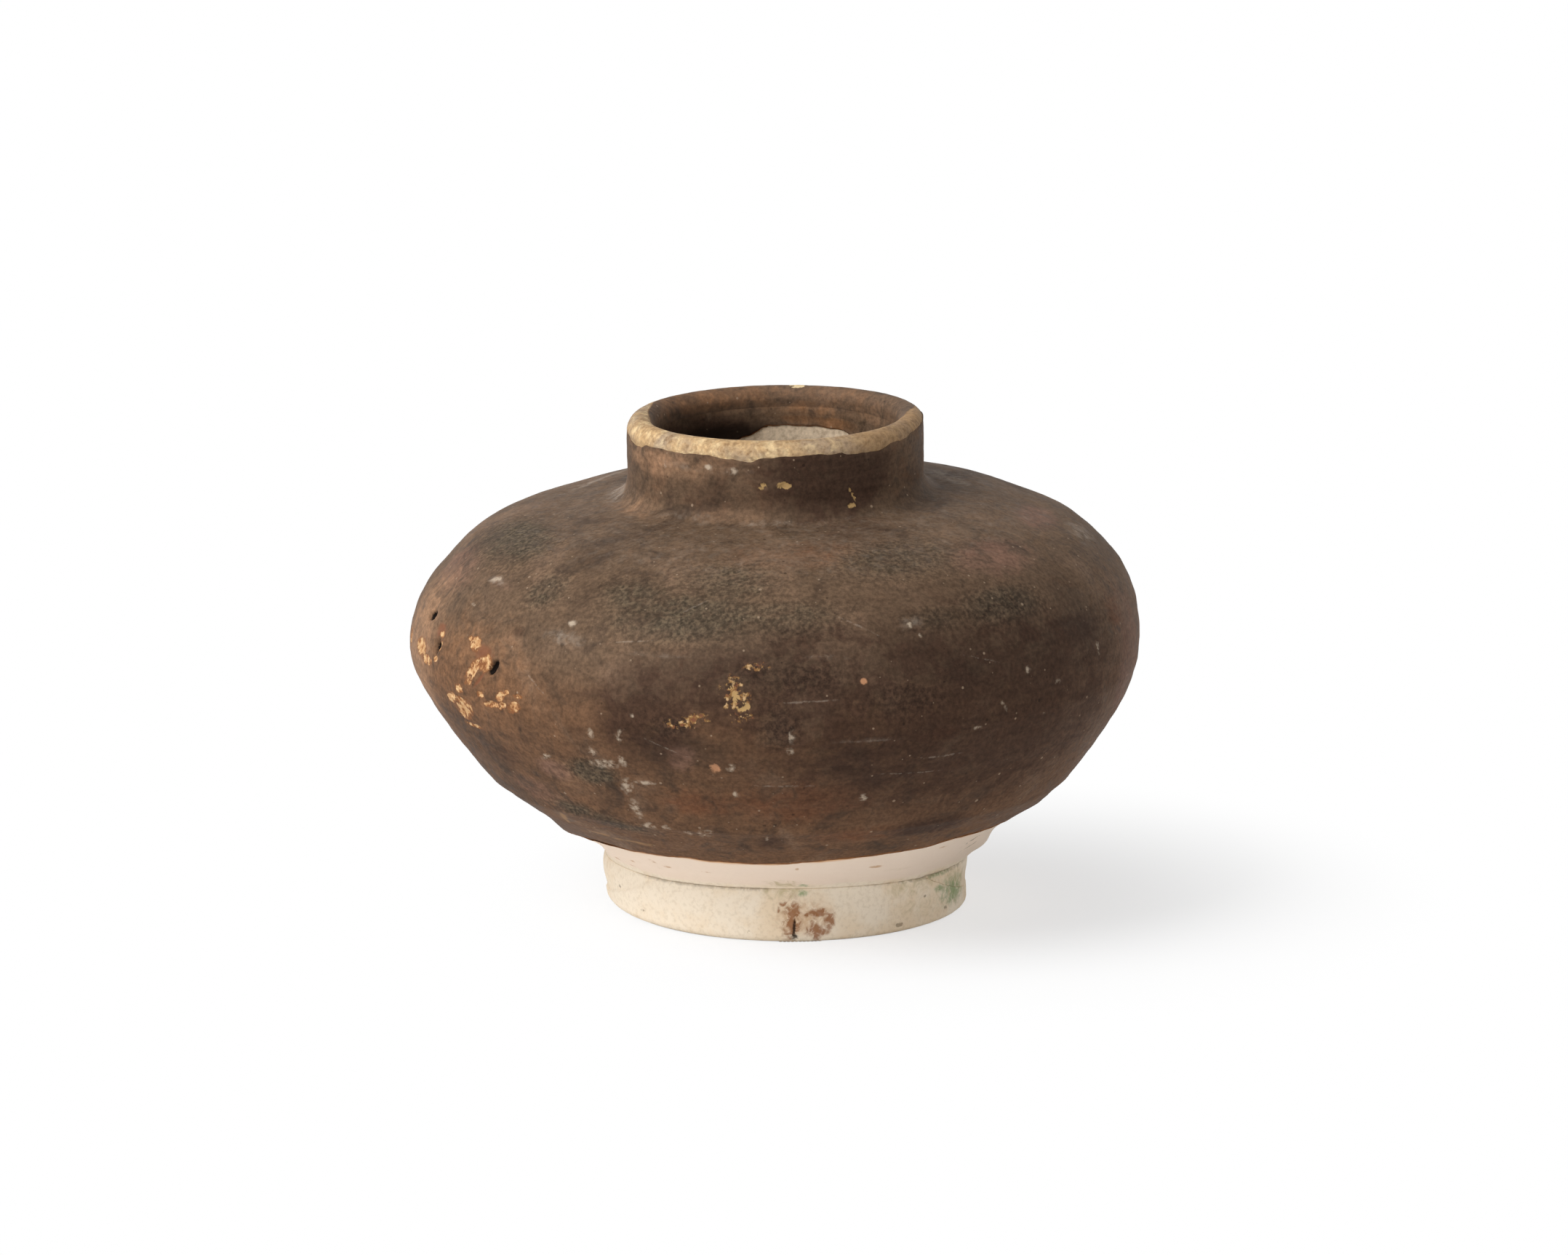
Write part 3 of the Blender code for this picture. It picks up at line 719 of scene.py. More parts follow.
# The skin's grain, the wall's wobble and rings, and the wander of a glaze edge
COARSE_GRAIN, FINE_GRAIN, FINE_SHARE = 1.7 * MM, 0.8 * MM, 0.6
WOBBLE_SIZE, WOBBLE_SINK = 42.0 * MM, 0.35
RING_SIZE, RING_DRAW = 2.6 * MM, 42.0
LONG_WANDER, SHORT_WANDER, SHORT_SHARE = 3.2 * MM, 1.3 * MM, 0.5
SKIN = "skin"
FACE = "face"
SHARP_CREASE = math.radians(55.0)


def spun(loops, segments):
    """Spins an outline about the axis. Each stretch of it says how its skin moves and shows."""
    shape = bmesh.new()
    skin = shape.verts.layers.float.new(SKIN)
    face = shape.verts.layers.float.new(FACE)
    chain = []
    for points, skin_value, face_value in loops:
        for point in points:
            if chain and (point - chain[-1].co).length < TINY:
                continue
            vertex = shape.verts.new(point)
            vertex[skin], vertex[face] = skin_value, face_value
            chain.append(vertex)
    on_axis = chain[0].co.x == 0.0 and chain[-1].co.x == 0.0
    followers = chain[1:] if on_axis else chain[1:] + chain[:1]
    edges = [shape.edges.new(pair) for pair in zip(chain, followers)]
    bmesh.ops.spin(
        shape, geom=chain + edges, axis=(0.0, 0.0, 1.0), cent=(0.0, 0.0, 0.0),
        angle=math.tau, steps=segments, use_merge=True,
    )
    bmesh.ops.remove_doubles(shape, verts=shape.verts, dist=TINY)
    bmesh.ops.recalc_face_normals(shape, faces=shape.faces)
    return shape


def refine(shape, form, small_marks):
    """Cuts the mesh finer where small marks lie."""
    points = form.warp(np.array([vertex.co[:] for vertex in shape.verts]))
    near = np.zeros(len(points), bool)
    for mark in small_marks:
        wider = mark._replace(width=mark.width + REFINE_MARGIN, length=mark.length + REFINE_MARGIN)
        index, distance = reached(wider, form, points, REFINE_REACH)
        near[index[distance < REFINE_END]] = True
    shape.verts.index_update()
    face = shape.verts.layers.float[FACE]
    fine = [edge for edge in shape.edges
            if all(near[vertex.index] and vertex[face] > 0.5 for vertex in edge.verts)]
    bmesh.ops.subdivide_edges(shape, edges=fine, cuts=REFINE_CUTS, use_grid_fill=True)


def read(data, name, width=1):
    """The values that a mesh's elements hold, as rows when there is more than one to each."""
    values = np.empty(len(data) * width, np.float32)
    data.foreach_get(name, values)
    values = values.astype(float)
    return values.reshape(-1, width) if width > 1 else values


class Skin:
    """A piece's mesh while its points are moved, and the masks that its surface shows."""

    def __init__(self, name, shape):
        self.name = name
        self.mesh = bpy.data.meshes.new(name)
        shape.to_mesh(self.mesh)
        shape.free()
        self.points = read(self.mesh.vertices, "co", 3)
        self.moves = read(self.mesh.attributes[SKIN].data, "value")
        self.shows = read(self.mesh.attributes[FACE].data, "value")
        self.masks = {}
        self.off_joint = None

    def heights(self):
        return self.points[:, 2]

    def radii(self):
        return np.hypot(self.points[:, 0], self.points[:, 1])

    def scale_radii(self, scale):
        self.points[:, :2] *= scale[:, None]

    def settle(self):
        """Writes the points back to the mesh and brings its normals up to date."""
        self.mesh.vertices.foreach_set("co", self.points.astype(np.float32).ravel())
        self.mesh.update()

    def push(self, outward):
        """Moves the skin outwards by an amount at each point."""
        self.settle()
        normals = read(self.mesh.vertices, "normal", 3)
        if self.off_joint is not None:
            normals[:, 2] *= smooth(self.off_joint / MM)
            normals /= np.linalg.norm(normals, axis=1)[:, None] + TINY
        self.points += normals * (outward * self.moves)[:, None]
        self.settle()

    def mask(self, kind, values):
        """Adds to a mask, keeping the stronger of the old and new value at each point."""
        held = self.masks.setdefault(kind, np.zeros(len(self.points)))
        np.maximum(held, values * (self.shows > 0.0), out=held)

    def mask_joint(self, width):
        """Masks the dirt and painted shade by the joint of foot and bowl, out to a little over the width.
        """
        dirt = by_bearing(JOINT_DIRT_AND_SHADE, bearings_of(self.points))
        self.mask("joint", dirt * np.clip(1.2 - self.off_joint / width, 0.0, 1.0))

    def weather(self, form, wear, small_marks=(), tones=()):
        """Warps the piece, moves its skin by the hand and its marks, and masks marks and tones."""
        self.points = form.warp(self.points)
        push = unevenness(self.points, form, wear)
        for bearing, height, half_width, half_height, amount in PRESSES:
            press = Mark("press", bearing, height, half_width * 2.0, half_height * 2.0)
            near, distance = reached(press, form, self.points, PRESS_REACH)
            push[near] += amount * MM * np.exp(-distance ** 2)
        grain = noise_at(self.points, COARSE_GRAIN) + FINE_SHARE * noise_at(self.points, FINE_GRAIN)
        push += wear.pitting * grain * (self.shows > 0.0)
        dents = np.zeros(len(self.points))
        for mark in small_marks:
            near, distance = reached(mark, form, self.points, MARK_REACH)
            values = np.zeros(len(self.points))
            values[near] = np.clip(1.0 - distance / MARK_END, 0.0, 1.0)
            self.mask(mark.kind, values)
            if mark.depth >= DEEP:
                spread = np.where(self.shows[near] > 0.0, distance, distance * BEHIND_SHARE)
                push[near] -= smooth(DENT_END - spread) * mark.depth * MM
            elif mark.depth > 0.0:
                rough = np.clip(1.0 + LUMPS * noise_at(self.points[near], LUMP_SIZE), 0.0, LUMP_LIMIT)
                dents[near] = np.maximum(dents[near], smooth(DENT_END - distance) * rough * mark.depth * MM)
            else:
                dents[near] += smooth(DENT_END - distance) * mark.depth * MM
        for zone in tones:
            near, distance = reached(zone, form, self.points, ZONE_REACH)
            values = np.zeros(len(self.points))
            values[near] = zone.strength * smooth((ZONE_END - distance) / ZONE_FADE)
            self.mask(zone.kind, values)
        self.push(push - dents * (self.shows > 0.0))

    def finish(self, node, slot, make, *settings):
        """Makes the piece that stands for its CAD node. Its material is named as what makes it."""
        for kind, mask in self.masks.items():
            values = self.mesh.attributes.new(kind, "FLOAT", "POINT")
            values.data.foreach_set("value", mask.astype(np.float32))
        self.mesh.materials.append(bpy.data.materials.get(make.__name__) or make(*settings))
        self.mesh.shade_smooth()
        self.mesh.set_sharp_from_angle(angle=SHARP_CREASE)
        piece = bpy.data.objects.new(self.name, self.mesh)
        bpy.context.scene.collection.objects.link(piece)
        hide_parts(node)
        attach(piece, "root")


def unevenness(points, form, wear):
    """Outward push that the potter's hand leaves: slow wobble, and rings left by the fingers."""
    radii = np.hypot(points[:, 0], points[:, 1])
    below = points[:, 2] + radii - 2.0 * form.size.girth_radius
    along = np.where(points[:, 2] > form.girth_level, points[:, 2] - radii, below)
    drawn_out = np.column_stack([points[:, :2] / RING_DRAW, along])
    rings = wear.rings * noise_at(drawn_out, RING_SIZE)
    return wear.wobble * (noise_at(points, WOBBLE_SIZE) - WOBBLE_SINK) + rings


def wander(points, wear, shift):
    """The small wander of a dipped edge, up or down, read from its own place in the noise."""
    ring = np.column_stack([points[:, :2], np.zeros(len(points))])
    short = SHORT_SHARE * noise_at(ring, SHORT_WANDER, shift)
    return wear.edge_wander * (noise_at(ring, LONG_WANDER, shift) + short)


# Finishes

# The mix node's sockets for colours
MIX_A, MIX_B, MIX_RESULT = 6, 7, 2
NOISE_ROUGHNESS = 0.62
# Draws the streaks out sideways, about seven times as wide as they are high
STREAK_DRAW = (0.14, 0.14, 1.0)
# Heights between which the glaze goes from the shoulder's brown to the belly's
SHOULDER_TONE_LEVEL, BELLY_TONE_LEVEL = 56.0 * MM, 40.0 * MM
PLAIN = (1.0, 1.0, 1.0)
WHITE = (1.0, 1.0, 1.0, 1.0)


def per_mm(size):
    """Texture scale that makes a pattern of a real size in millimetres."""
    return 1.0 / (size * MM)


def feed(tree, node, sockets):
    """Sets a node's sockets, or links those that another node feeds."""
    for socket, value in sockets.items():
        if isinstance(value, bpy.types.NodeSocket):
            tree.links.new(value, node.inputs[socket])
        else:
            node.inputs[socket].default_value = value


def add(tree, kind, sockets=None, stops=(), **settings):
    """Adds a node with its settings, its ramp stops and what feeds its sockets."""
    node = tree.nodes.new(kind)
    for name, value in settings.items():
        setattr(node, name, value)
    feed(tree, node, sockets or {})
    for index, (position, stop) in enumerate(stops):
        ramp = node.color_ramp.elements
        element = ramp[index] if index < 2 else ramp.new(position)
        element.position, element.color = position, (*stop, 1.0)
    return node


def laid_over(tree, under, over, mask, start, full, strength=1.0):
    """Lays one colour over another where a mask climbs from start to full."""
    limit = add(tree, "ShaderNodeMapRange", {
        "Value": mask, "From Min": start, "From Max": full, "To Max": strength,
    }, interpolation_type="SMOOTHSTEP")
    top = over if isinstance(over, bpy.types.NodeSocket) else (*over, 1.0)
    return add(tree, "ShaderNodeMix", {
        0: limit.outputs[0], MIX_A: under, MIX_B: top,
    }, data_type="RGBA").outputs[MIX_RESULT]


def toned(tree, under, texture, strength, *stops):
    """Darkens and lightens a colour by a texture's ramp of tones."""
    tones = add(tree, "ShaderNodeValToRGB", {0: texture}, stops=stops).outputs[0]
    return add(tree, "ShaderNodeMix", {0: strength, MIX_A: under, MIX_B: tones},
               data_type="RGBA", blend_type="MULTIPLY").outputs[MIX_RESULT]


def broken(tree, kind, texture, swing):
    """The mask of one kind of mark, broken up by a texture but nothing where the mask is nothing."""
    mask = add(tree, "ShaderNodeAttribute", attribute_name=kind)
    factor = add(tree, "ShaderNodeMath", {0: texture, 1: swing, 2: 1.0 - swing / 2.0},
                 operation="MULTIPLY_ADD")
    return add(tree, "ShaderNodeMath", {0: mask.outputs["Fac"], 1: factor.outputs[0]},
               operation="MULTIPLY").outputs[0]


def worn(tree, body, *layers):
    """Lays a colour over each kind of mark in turn, as its broken mask climbs from start to full."""
    for colour, kind, texture, swing, start, full, strength in layers:
        body = laid_over(tree, body, colour, broken(tree, kind, texture, swing), start, full, strength)
    return body


def specks(tree, place, size, chance, biggest):
    """Lone round specks: some cells of a scatter hold one, up to a share of the cell wide."""
    cells = add(tree, "ShaderNodeTexVoronoi", {"Vector": place, "Scale": per_mm(size)})
    chosen = add(tree, "ShaderNodeMapRange", {
        "Value": cells.outputs["Color"], "From Min": 1.0 - chance, "From Max": 1.0, "To Max": biggest,
    })
    return add(tree, "ShaderNodeMath", {0: chosen.outputs[0], 1: cells.outputs["Distance"]},
               operation="SUBTRACT").outputs[0]


def new_surface(name):
    """An empty material, its node tree and its object coordinates."""
    surface = bpy.data.materials.new(name)
    surface.use_nodes = True
    place = add(surface.node_tree, "ShaderNodeTexCoord").outputs["Object"]
    return surface, surface.node_tree, place


def fired(surface, colour, roughness, shine, relief, strength, depth):
    """Gives a material its colour, roughness and shine, and a fine relief some millimetres deep."""
    tree = surface.node_tree
    bump = add(tree, "ShaderNodeBump", {"Height": relief, "Strength": strength, "Distance": depth * MM})
    feed(tree, tree.nodes["Principled BSDF"], {
        "Base Color": colour, "Roughness": roughness, "Specular IOR Level": shine,
        "Normal": bump.outputs[0],
    })
    return surface


def glaze_look(tree, place, colours, wear):
    """Colour, relief and patches of the iron glaze: clouded brown with a sandy, rubbed-dull skin."""
    drawn_out = add(tree, "ShaderNodeMapping", {"Vector": place, "Scale": STREAK_DRAW}).outputs[0]
    clouds, patches, grain, fine_clouds, streaks = [add(tree, "ShaderNodeTexNoise", {
        "Vector": where, "Scale": per_mm(size), "Detail": detail, "Roughness": NOISE_ROUGHNESS,
        "Distortion": twist,
    }).outputs[0] for where, size, detail, twist in (
        (place, 16.0, 5.0, 0.8), (place, 4.2, 4.0, 1.2), (place, wear.grain / MM, 3.0, 0.0),
        (place, 1.6, 6.0, 0.5), (drawn_out, 1.0, 4.0, 0.0),
    )]
    height = add(tree, "ShaderNodeSeparateXYZ", {0: place}).outputs["Z"]
    low = add(tree, "ShaderNodeMapRange", {
        "Value": height, "From Min": SHOULDER_TONE_LEVEL, "From Max": BELLY_TONE_LEVEL,
    }, interpolation_type="SMOOTHSTEP").outputs[0]
    body = laid_over(tree, (*colours.glaze_brown, 1.0), colours.glaze_low, low, 0.0, 1.0)
    body = laid_over(tree, body, colours.glaze_light, clouds, 0.50, 0.72, 0.8)
    body = laid_over(tree, body, colours.glaze_dark, clouds, 0.48, 0.32, 0.8)
    body = laid_over(tree, body, colours.glaze_dark, patches, 0.44, 0.30, 0.5)
    body = worn(
        tree, body,
        (colours.glaze_red, "rust", patches, 2.0, 0.15, 0.95, 0.85),
        # blush and pale are also painted sheen on the left and right edges
        (colours.glaze_blush, "blush", patches, 2.0, 0.15, 0.95, 0.85),
        (colours.wash, "wash", patches, 2.4, 0.1, 1.0, 0.85),
        (colours.glaze_pale, "pale", patches, 2.0, 0.1, 1.0, 0.8),
        (colours.glaze_warm, "warm", patches, 2.0, 0.1, 1.0, 0.8),
        (colours.glaze_olive, "film", patches, 2.6, 0.1, 1.0, 0.85),
        (colours.glaze_plum, "plum", patches, 2.6, 0.1, 0.9, 0.85),
    )
    filmed = broken(tree, "film", patches, 2.6)
    for tones in (
        (streaks, 0.4, (0.34, (0.66, 0.64, 0.62)), (0.50, PLAIN), (0.68, (1.25, 1.24, 1.22))),
        (patches, 0.6, (0.32, (0.72, 0.72, 0.72)), (0.50, PLAIN), (0.70, (1.30, 1.28, 1.26))),
        (grain, 0.6, (0.34, (0.62, 0.62, 0.61)), (0.48, (0.96, 0.96, 0.96)), (0.64, (1.38, 1.38, 1.36))),
        (grain, filmed, (0.36, (0.60, 0.60, 0.60)), (0.50, PLAIN), (0.64, (1.45, 1.44, 1.40))),
    ):
        body = toned(tree, body, *tones)
    body = laid_over(tree, body, colours.sand, specks(tree, place, 1.2, 0.35, 0.34), 0.0, 0.12, 0.6)
    body = laid_over(tree, body, colours.pit_dirt, specks(tree, place, 1.7, 0.35, 0.28), 0.0, 0.10, 0.5)
    # dust, and painted sheen round the top of the shoulder
    body = worn(tree, body, (colours.dust, "dust_and_sheen", fine_clouds, 4.0, 0.2, 1.5, 0.6))
    relief = add(tree, "ShaderNodeMath", {0: grain, 1: 0.65, 2: streaks}, operation="MULTIPLY_ADD")
    return body, relief.outputs[0], patches


def iron_brown_glaze(colours, wear):
    """Iron-brown stoneware glaze, dipped and fired matt: a dull, sandy skin with hardly any shine,
    clouded from red-brown to olive, and worn through to tan clay where it was knocked."""
    surface, tree, place = new_surface("iron_brown_glaze")
    body, relief, patches = glaze_look(tree, place, colours, wear)
    fine, rough, flecks, mottle = [add(tree, "ShaderNodeTexNoise", {
        "Vector": place, "Scale": per_mm(size), "Detail": detail, "Roughness": NOISE_ROUGHNESS,
    }).outputs[0] for size, detail in ((1.0, 3.0), (2.0, 4.0), (0.9, 4.0), (1.1, 2.0))]
    bloom, clay = [add(tree, "ShaderNodeValToRGB", {0: texture}, stops).outputs[0] for texture, stops in (
        (flecks, ((0.40, colours.glaze_rust), (0.52, colours.gold), (0.66, colours.chip_pale))),
        (mottle, ((0.36, colours.chip_deep), (0.47, colours.chip_tan), (0.62, colours.chip_pale))),
    )]
    body = worn(
        tree, body,
        # near-black painted shade low on the left inside the mouth
        (colours.pit_dirt, "mouth_shade", patches, 1.0, 0.1, 0.9, 0.85),
        (colours.glaze_thin, "thin", patches, 2.4, 0.3, 0.8, 0.8),
        (bloom, "gold", fine, 8.0, 0.5, 1.0, 0.8),
        (colours.crust, "crust", fine, 5.0, 0.2, 1.3, 0.8),
        (colours.dust, "scratch", fine, 5.0, 0.3, 1.0, 0.24),
        (colours.ochre, "ochre", fine, 4.5, 0.36, 0.6, 0.9),
        (colours.rust_dot, "dot", fine, 3.4, 0.3, 0.75, 0.9),
        (colours.glaze_rust, "red", rough, 3.0, 0.2, 0.8, 0.75),
        (colours.chip_deep, "chip", flecks, 3.6, 0.14, 0.36, 0.8),
        (clay, "chip", flecks, 3.6, 0.32, 0.48, 1.0),
        # pits: near black for their dirt and the painted shade inside them
        (colours.pit_dirt, "pit", fine, 0.8, 0.36, 0.56, 1.0),
        (colours.glaze_rim, "rim", fine, 1.8, 0.3, 0.85, 0.9),
    )
    roughness = add(tree, "ShaderNodeMapRange", {
        "Value": patches, "From Min": 0.3, "From Max": 0.7, "To Min": 0.55, "To Max": 0.72,
    })
    return fired(surface, body, roughness.outputs[0], 0.06, relief, 0.5, 0.06)


def clay_look(tree, place, colours, main, second, dark_chance):
    """Colour, grain and clouds of bare fired clay: two close tones, a fine grain and dark specks."""
    clouds, grain = [add(tree, "ShaderNodeTexNoise", {
        "Vector": place, "Scale": per_mm(size), "Detail": detail, "Roughness": NOISE_ROUGHNESS,
    }).outputs[0] for size, detail in ((9.0, 5.0), (0.7, 3.0))]
    body = laid_over(tree, (*main, 1.0), second, clouds, 0.42, 0.66)
    body = toned(tree, body, grain, 0.8, (0.32, (0.86, 0.84, 0.81)), (0.52, PLAIN))
    dark = specks(tree, place, 2.2, dark_chance, 0.22)
    return laid_over(tree, body, colours.clay_speck, dark, 0.0, 0.08, 0.7), grain, clouds


def turned_cream_clay(colours):
    """Pale stoneware clay, turned smooth and fired bare: dry and chalky, cream with peach flashing
    beside the glaze, and stained green, olive and rust where it lay in the ground."""
    surface, tree, place = new_surface("turned_cream_clay")
    body, grain, clouds = clay_look(tree, place, colours, colours.cream, colours.cream_deep, 0.10)
    fine, veins = [add(tree, "ShaderNodeTexNoise", {
        "Vector": place, "Scale": per_mm(size), "Detail": 4.0, "Roughness": NOISE_ROUGHNESS,
        "Distortion": twist,
    }).outputs[0] for size, twist in ((1.1, 0.8), (2.6, 2.0))]
    body = worn(
        tree, body,
        (colours.cream_pink, "turned", clouds, 1.2, 0.2, 1.0, 0.9),
        (colours.cream_peach, "flash", clouds, 1.6, 0.3, 1.0, 0.85),
        (colours.olive_stain, "tinge", veins, 3.6, 0.3, 1.3, 0.65),
        (colours.haze_stain, "haze", veins, 3.0, 0.35, 1.3, 0.55),
        (colours.green_stain, "green", fine, 2.6, 0.2, 1.0, 0.75),
        (colours.rust_stain, "stain", fine, 3.4, 0.15, 0.8, 0.85),
        # dirt and painted shade along the joint
        (colours.clay_speck, "joint", fine, 3.0, 0.25, 1.2, 0.45),
        (colours.clay_speck, "dirt", fine, 5.0, 0.3, 0.7, 0.6),
        (colours.haze_stain, "soil", fine, 4.0, 0.2, 1.0, 0.7),
        (colours.pit_dirt, "crack", fine, 2.4, 0.3, 0.75, 0.85),
    )
    return fired(surface, body, 0.86, 0.2, grain, 0.35, 0.05)


def rubbed_tan_lip(colours, wear):
    """The rubbed lip: tan clay where the glaze was wiped off, worn paler on its top and specked
    brown, with the iron glaze running over it at the back and down its inside."""
    surface, tree, place = new_surface("rubbed_tan_lip")
    body, _, clouds = clay_look(tree, place, colours, colours.lip_tan, colours.lip_grey, 0.2)
    rubs, fine = [add(tree, "ShaderNodeTexNoise", {
        "Vector": place, "Scale": per_mm(size), "Detail": detail, "Roughness": NOISE_ROUGHNESS,
        "Distortion": twist,
    }).outputs[0] for size, detail, twist in ((1.9, 4.0, 0.2), (0.8, 3.0, 0.0))]
    body = laid_over(tree, body, colours.lip_cream, rubs, 0.50, 0.66, 0.45)
    body = laid_over(tree, body, colours.lip_brown, rubs, 0.46, 0.32, 0.6)
    body = worn(
        tree, body,
        (colours.lip_brown, "dull", rubs, 1.6, 0.2, 1.0, 0.75),
        (colours.body_clay, "inside", clouds, 0.6, 0.3, 0.7, 1.0),
    )
    body = toned(tree, body, fine, 0.9,
                 (0.34, (0.70, 0.67, 0.63)), (0.5, PLAIN), (0.66, (1.25, 1.25, 1.22)))
    body = laid_over(tree, body, colours.glaze_low, specks(tree, place, 1.5, 0.35, 0.3), 0.0, 0.1, 0.75)
    glaze, relief, _ = glaze_look(tree, place, colours, wear)
    body = worn(
        tree, body,
        (colours.lip_brown, "glazed", rubs, 1.2, 0.30, 0.48, 0.8),
        (glaze, "glazed", rubs, 1.2, 0.46, 0.6, 1.0),
        (colours.lip_cream, "rub", fine, 4.0, 0.3, 0.7, 0.85),
    )
    return fired(surface, body, 0.78, 0.25, relief, 0.5, 0.08)


def thrown_buff_clay(colours):
    """Unglazed stoneware inside the jar, left as it was thrown: dry, grey-buff and gritty."""
    surface, tree, place = new_surface("thrown_buff_clay")
    body, grain, _ = clay_look(tree, place, colours, colours.body_clay, colours.lip_grey, 0.2)
    return fired(surface, body, 0.9, 0.5, grain, 0.4, 0.08)


# One operator for each piece

# How far the dirt and painted shade of the foot's joint spread on the foot and on the bowl
JOINT_ON_FOOT, JOINT_ON_BOWL = 0.8 * MM, 0.35 * MM
# How soon the underside's own tone sets in above the joint, and how wide it is flashed below the glaze
TURNED_RISE, FLASH_WIDTH = 1.2 * MM, 1.0 * MM
# How wide the glaze's thin rusty rim is, outside and inside the neck, and how strong it is inside
RIM_WIDTH, INNER_RIM_WIDTH, INNER_RIM = 1.1 * MM, 0.5 * MM, 0.8
# The neck's rust tone and how fast it climbs in, and the dust and painted sheen on the top of the shoulder
NECK_RUST, NECK_RUST_RISE = 0.3, 3.0 * MM
SHOULDER_DUST_AND_SHEEN, DUST_SHEEN_LEVEL, DUST_SHEEN_RISE, DUST_SHEEN_FALL = 0.35, 61.0 * MM, 5.0 * MM, 1.5 * MM
# How far below the glaze's upper edge the neck turns out into the lip, and how far the bare clay
# inside reaches up behind the edge of the inner glaze
LIP_BLEND, INNER_OVERLAP = 0.8 * MM, 0.4 * MM
# The pad's innermost ring of points, and how far the bore's even rings stay from its ends
PAD_MIDDLE, BORE_MARGIN = 2.0 * MM, 1.0 * MM


def settings_of(context):
    """The form, wear and colours that the scene holds."""
    scene = context.scene
    return TurnedForm(scene.jar_sizes), scene.jar_wear, scene.jar_colours


def under_deep_marks():
    """The dents that the clay needs so that it stays behind the holes in the glaze."""
    return [mark._replace(width=mark.width + BEHIND_MARGIN, length=mark.length + BEHIND_MARGIN,
                          depth=mark.depth + BEHIND_DEPTH) for mark in COAT_MARKS if mark.depth >= DEEP]


class JAR_OT_turned_foot(bpy.types.Operator):
    """Turn the bare cream foot ring with its worn edge, its crack and its stains"""

    bl_idname = "jar.turned_foot"
    bl_label = "Turned Foot"

    def execute(self, context):
        form, wear, colours = settings_of(context)
        radius, bore, level = form.size.foot_radius, form.foot_bore_radius, form.underside_start.z
        groove = GROOVE_DEPTH
        outside = joined(
            arc(flat(radius - FOOT_EDGE, FOOT_EDGE), FOOT_EDGE, 270.0, 360.0, 7),
            straight(flat(radius, FOOT_EDGE), flat(radius, level - groove * 1.3), 22),
            curve(flat(radius, level - groove * 1.3), flat(radius, level - groove * 0.5),
                  flat(radius - groove * 0.6, level - groove * 0.2), flat(radius - groove, level), 5),
        )
        inside = joined(
            straight(flat(bore, level), flat(bore, FOOT_EDGE), 8),
            arc(flat(bore + FOOT_EDGE, FOOT_EDGE), FOOT_EDGE, 180.0, 270.0, 4),
            straight(flat(bore + FOOT_EDGE, 0.0), flat(radius - FOOT_EDGE, 0.0), 2)[:-1],
        )
        shape = spun([(outside[1:], 1.0, 1.0), (inside, 0.0, 0.0), (outside[:1], 0.0, 1.0)], CLAY_SEGMENTS)
        refine(shape, form, FOOT_MARKS)
        skin = Skin("turned_foot", shape)
        skin.off_joint = np.maximum(level - skin.heights(), 0.0)
        side = np.sin(np.radians(bearings_of(skin.points) + EDGE_WEAR_TURN))
        worn_edge = EDGE_WEAR - EDGE_WEAR_SWING * side
        heights, outer = skin.heights(), skin.radii() > radius - FOOT_EDGE - TINY
        corner = outer & (heights < FOOT_EDGE + TINY)
        scale = np.where(corner, worn_edge, 1.0)
        skin.scale_radii((radius + (skin.radii() - radius) * scale) / skin.radii())
        squeezed = level - (level - heights) * (level - FOOT_EDGE * worn_edge) / (level - FOOT_EDGE)
        skin.points[:, 2] = np.where(outer & ~corner, squeezed, heights * scale)
        skin.weather(form, wear, FOOT_MARKS, FOOT_ZONES)
        skin.mask_joint(JOINT_ON_FOOT)
        skin.finish("foot_ring", "foot_clay", turned_cream_clay, colours)
        return {"FINISHED"}


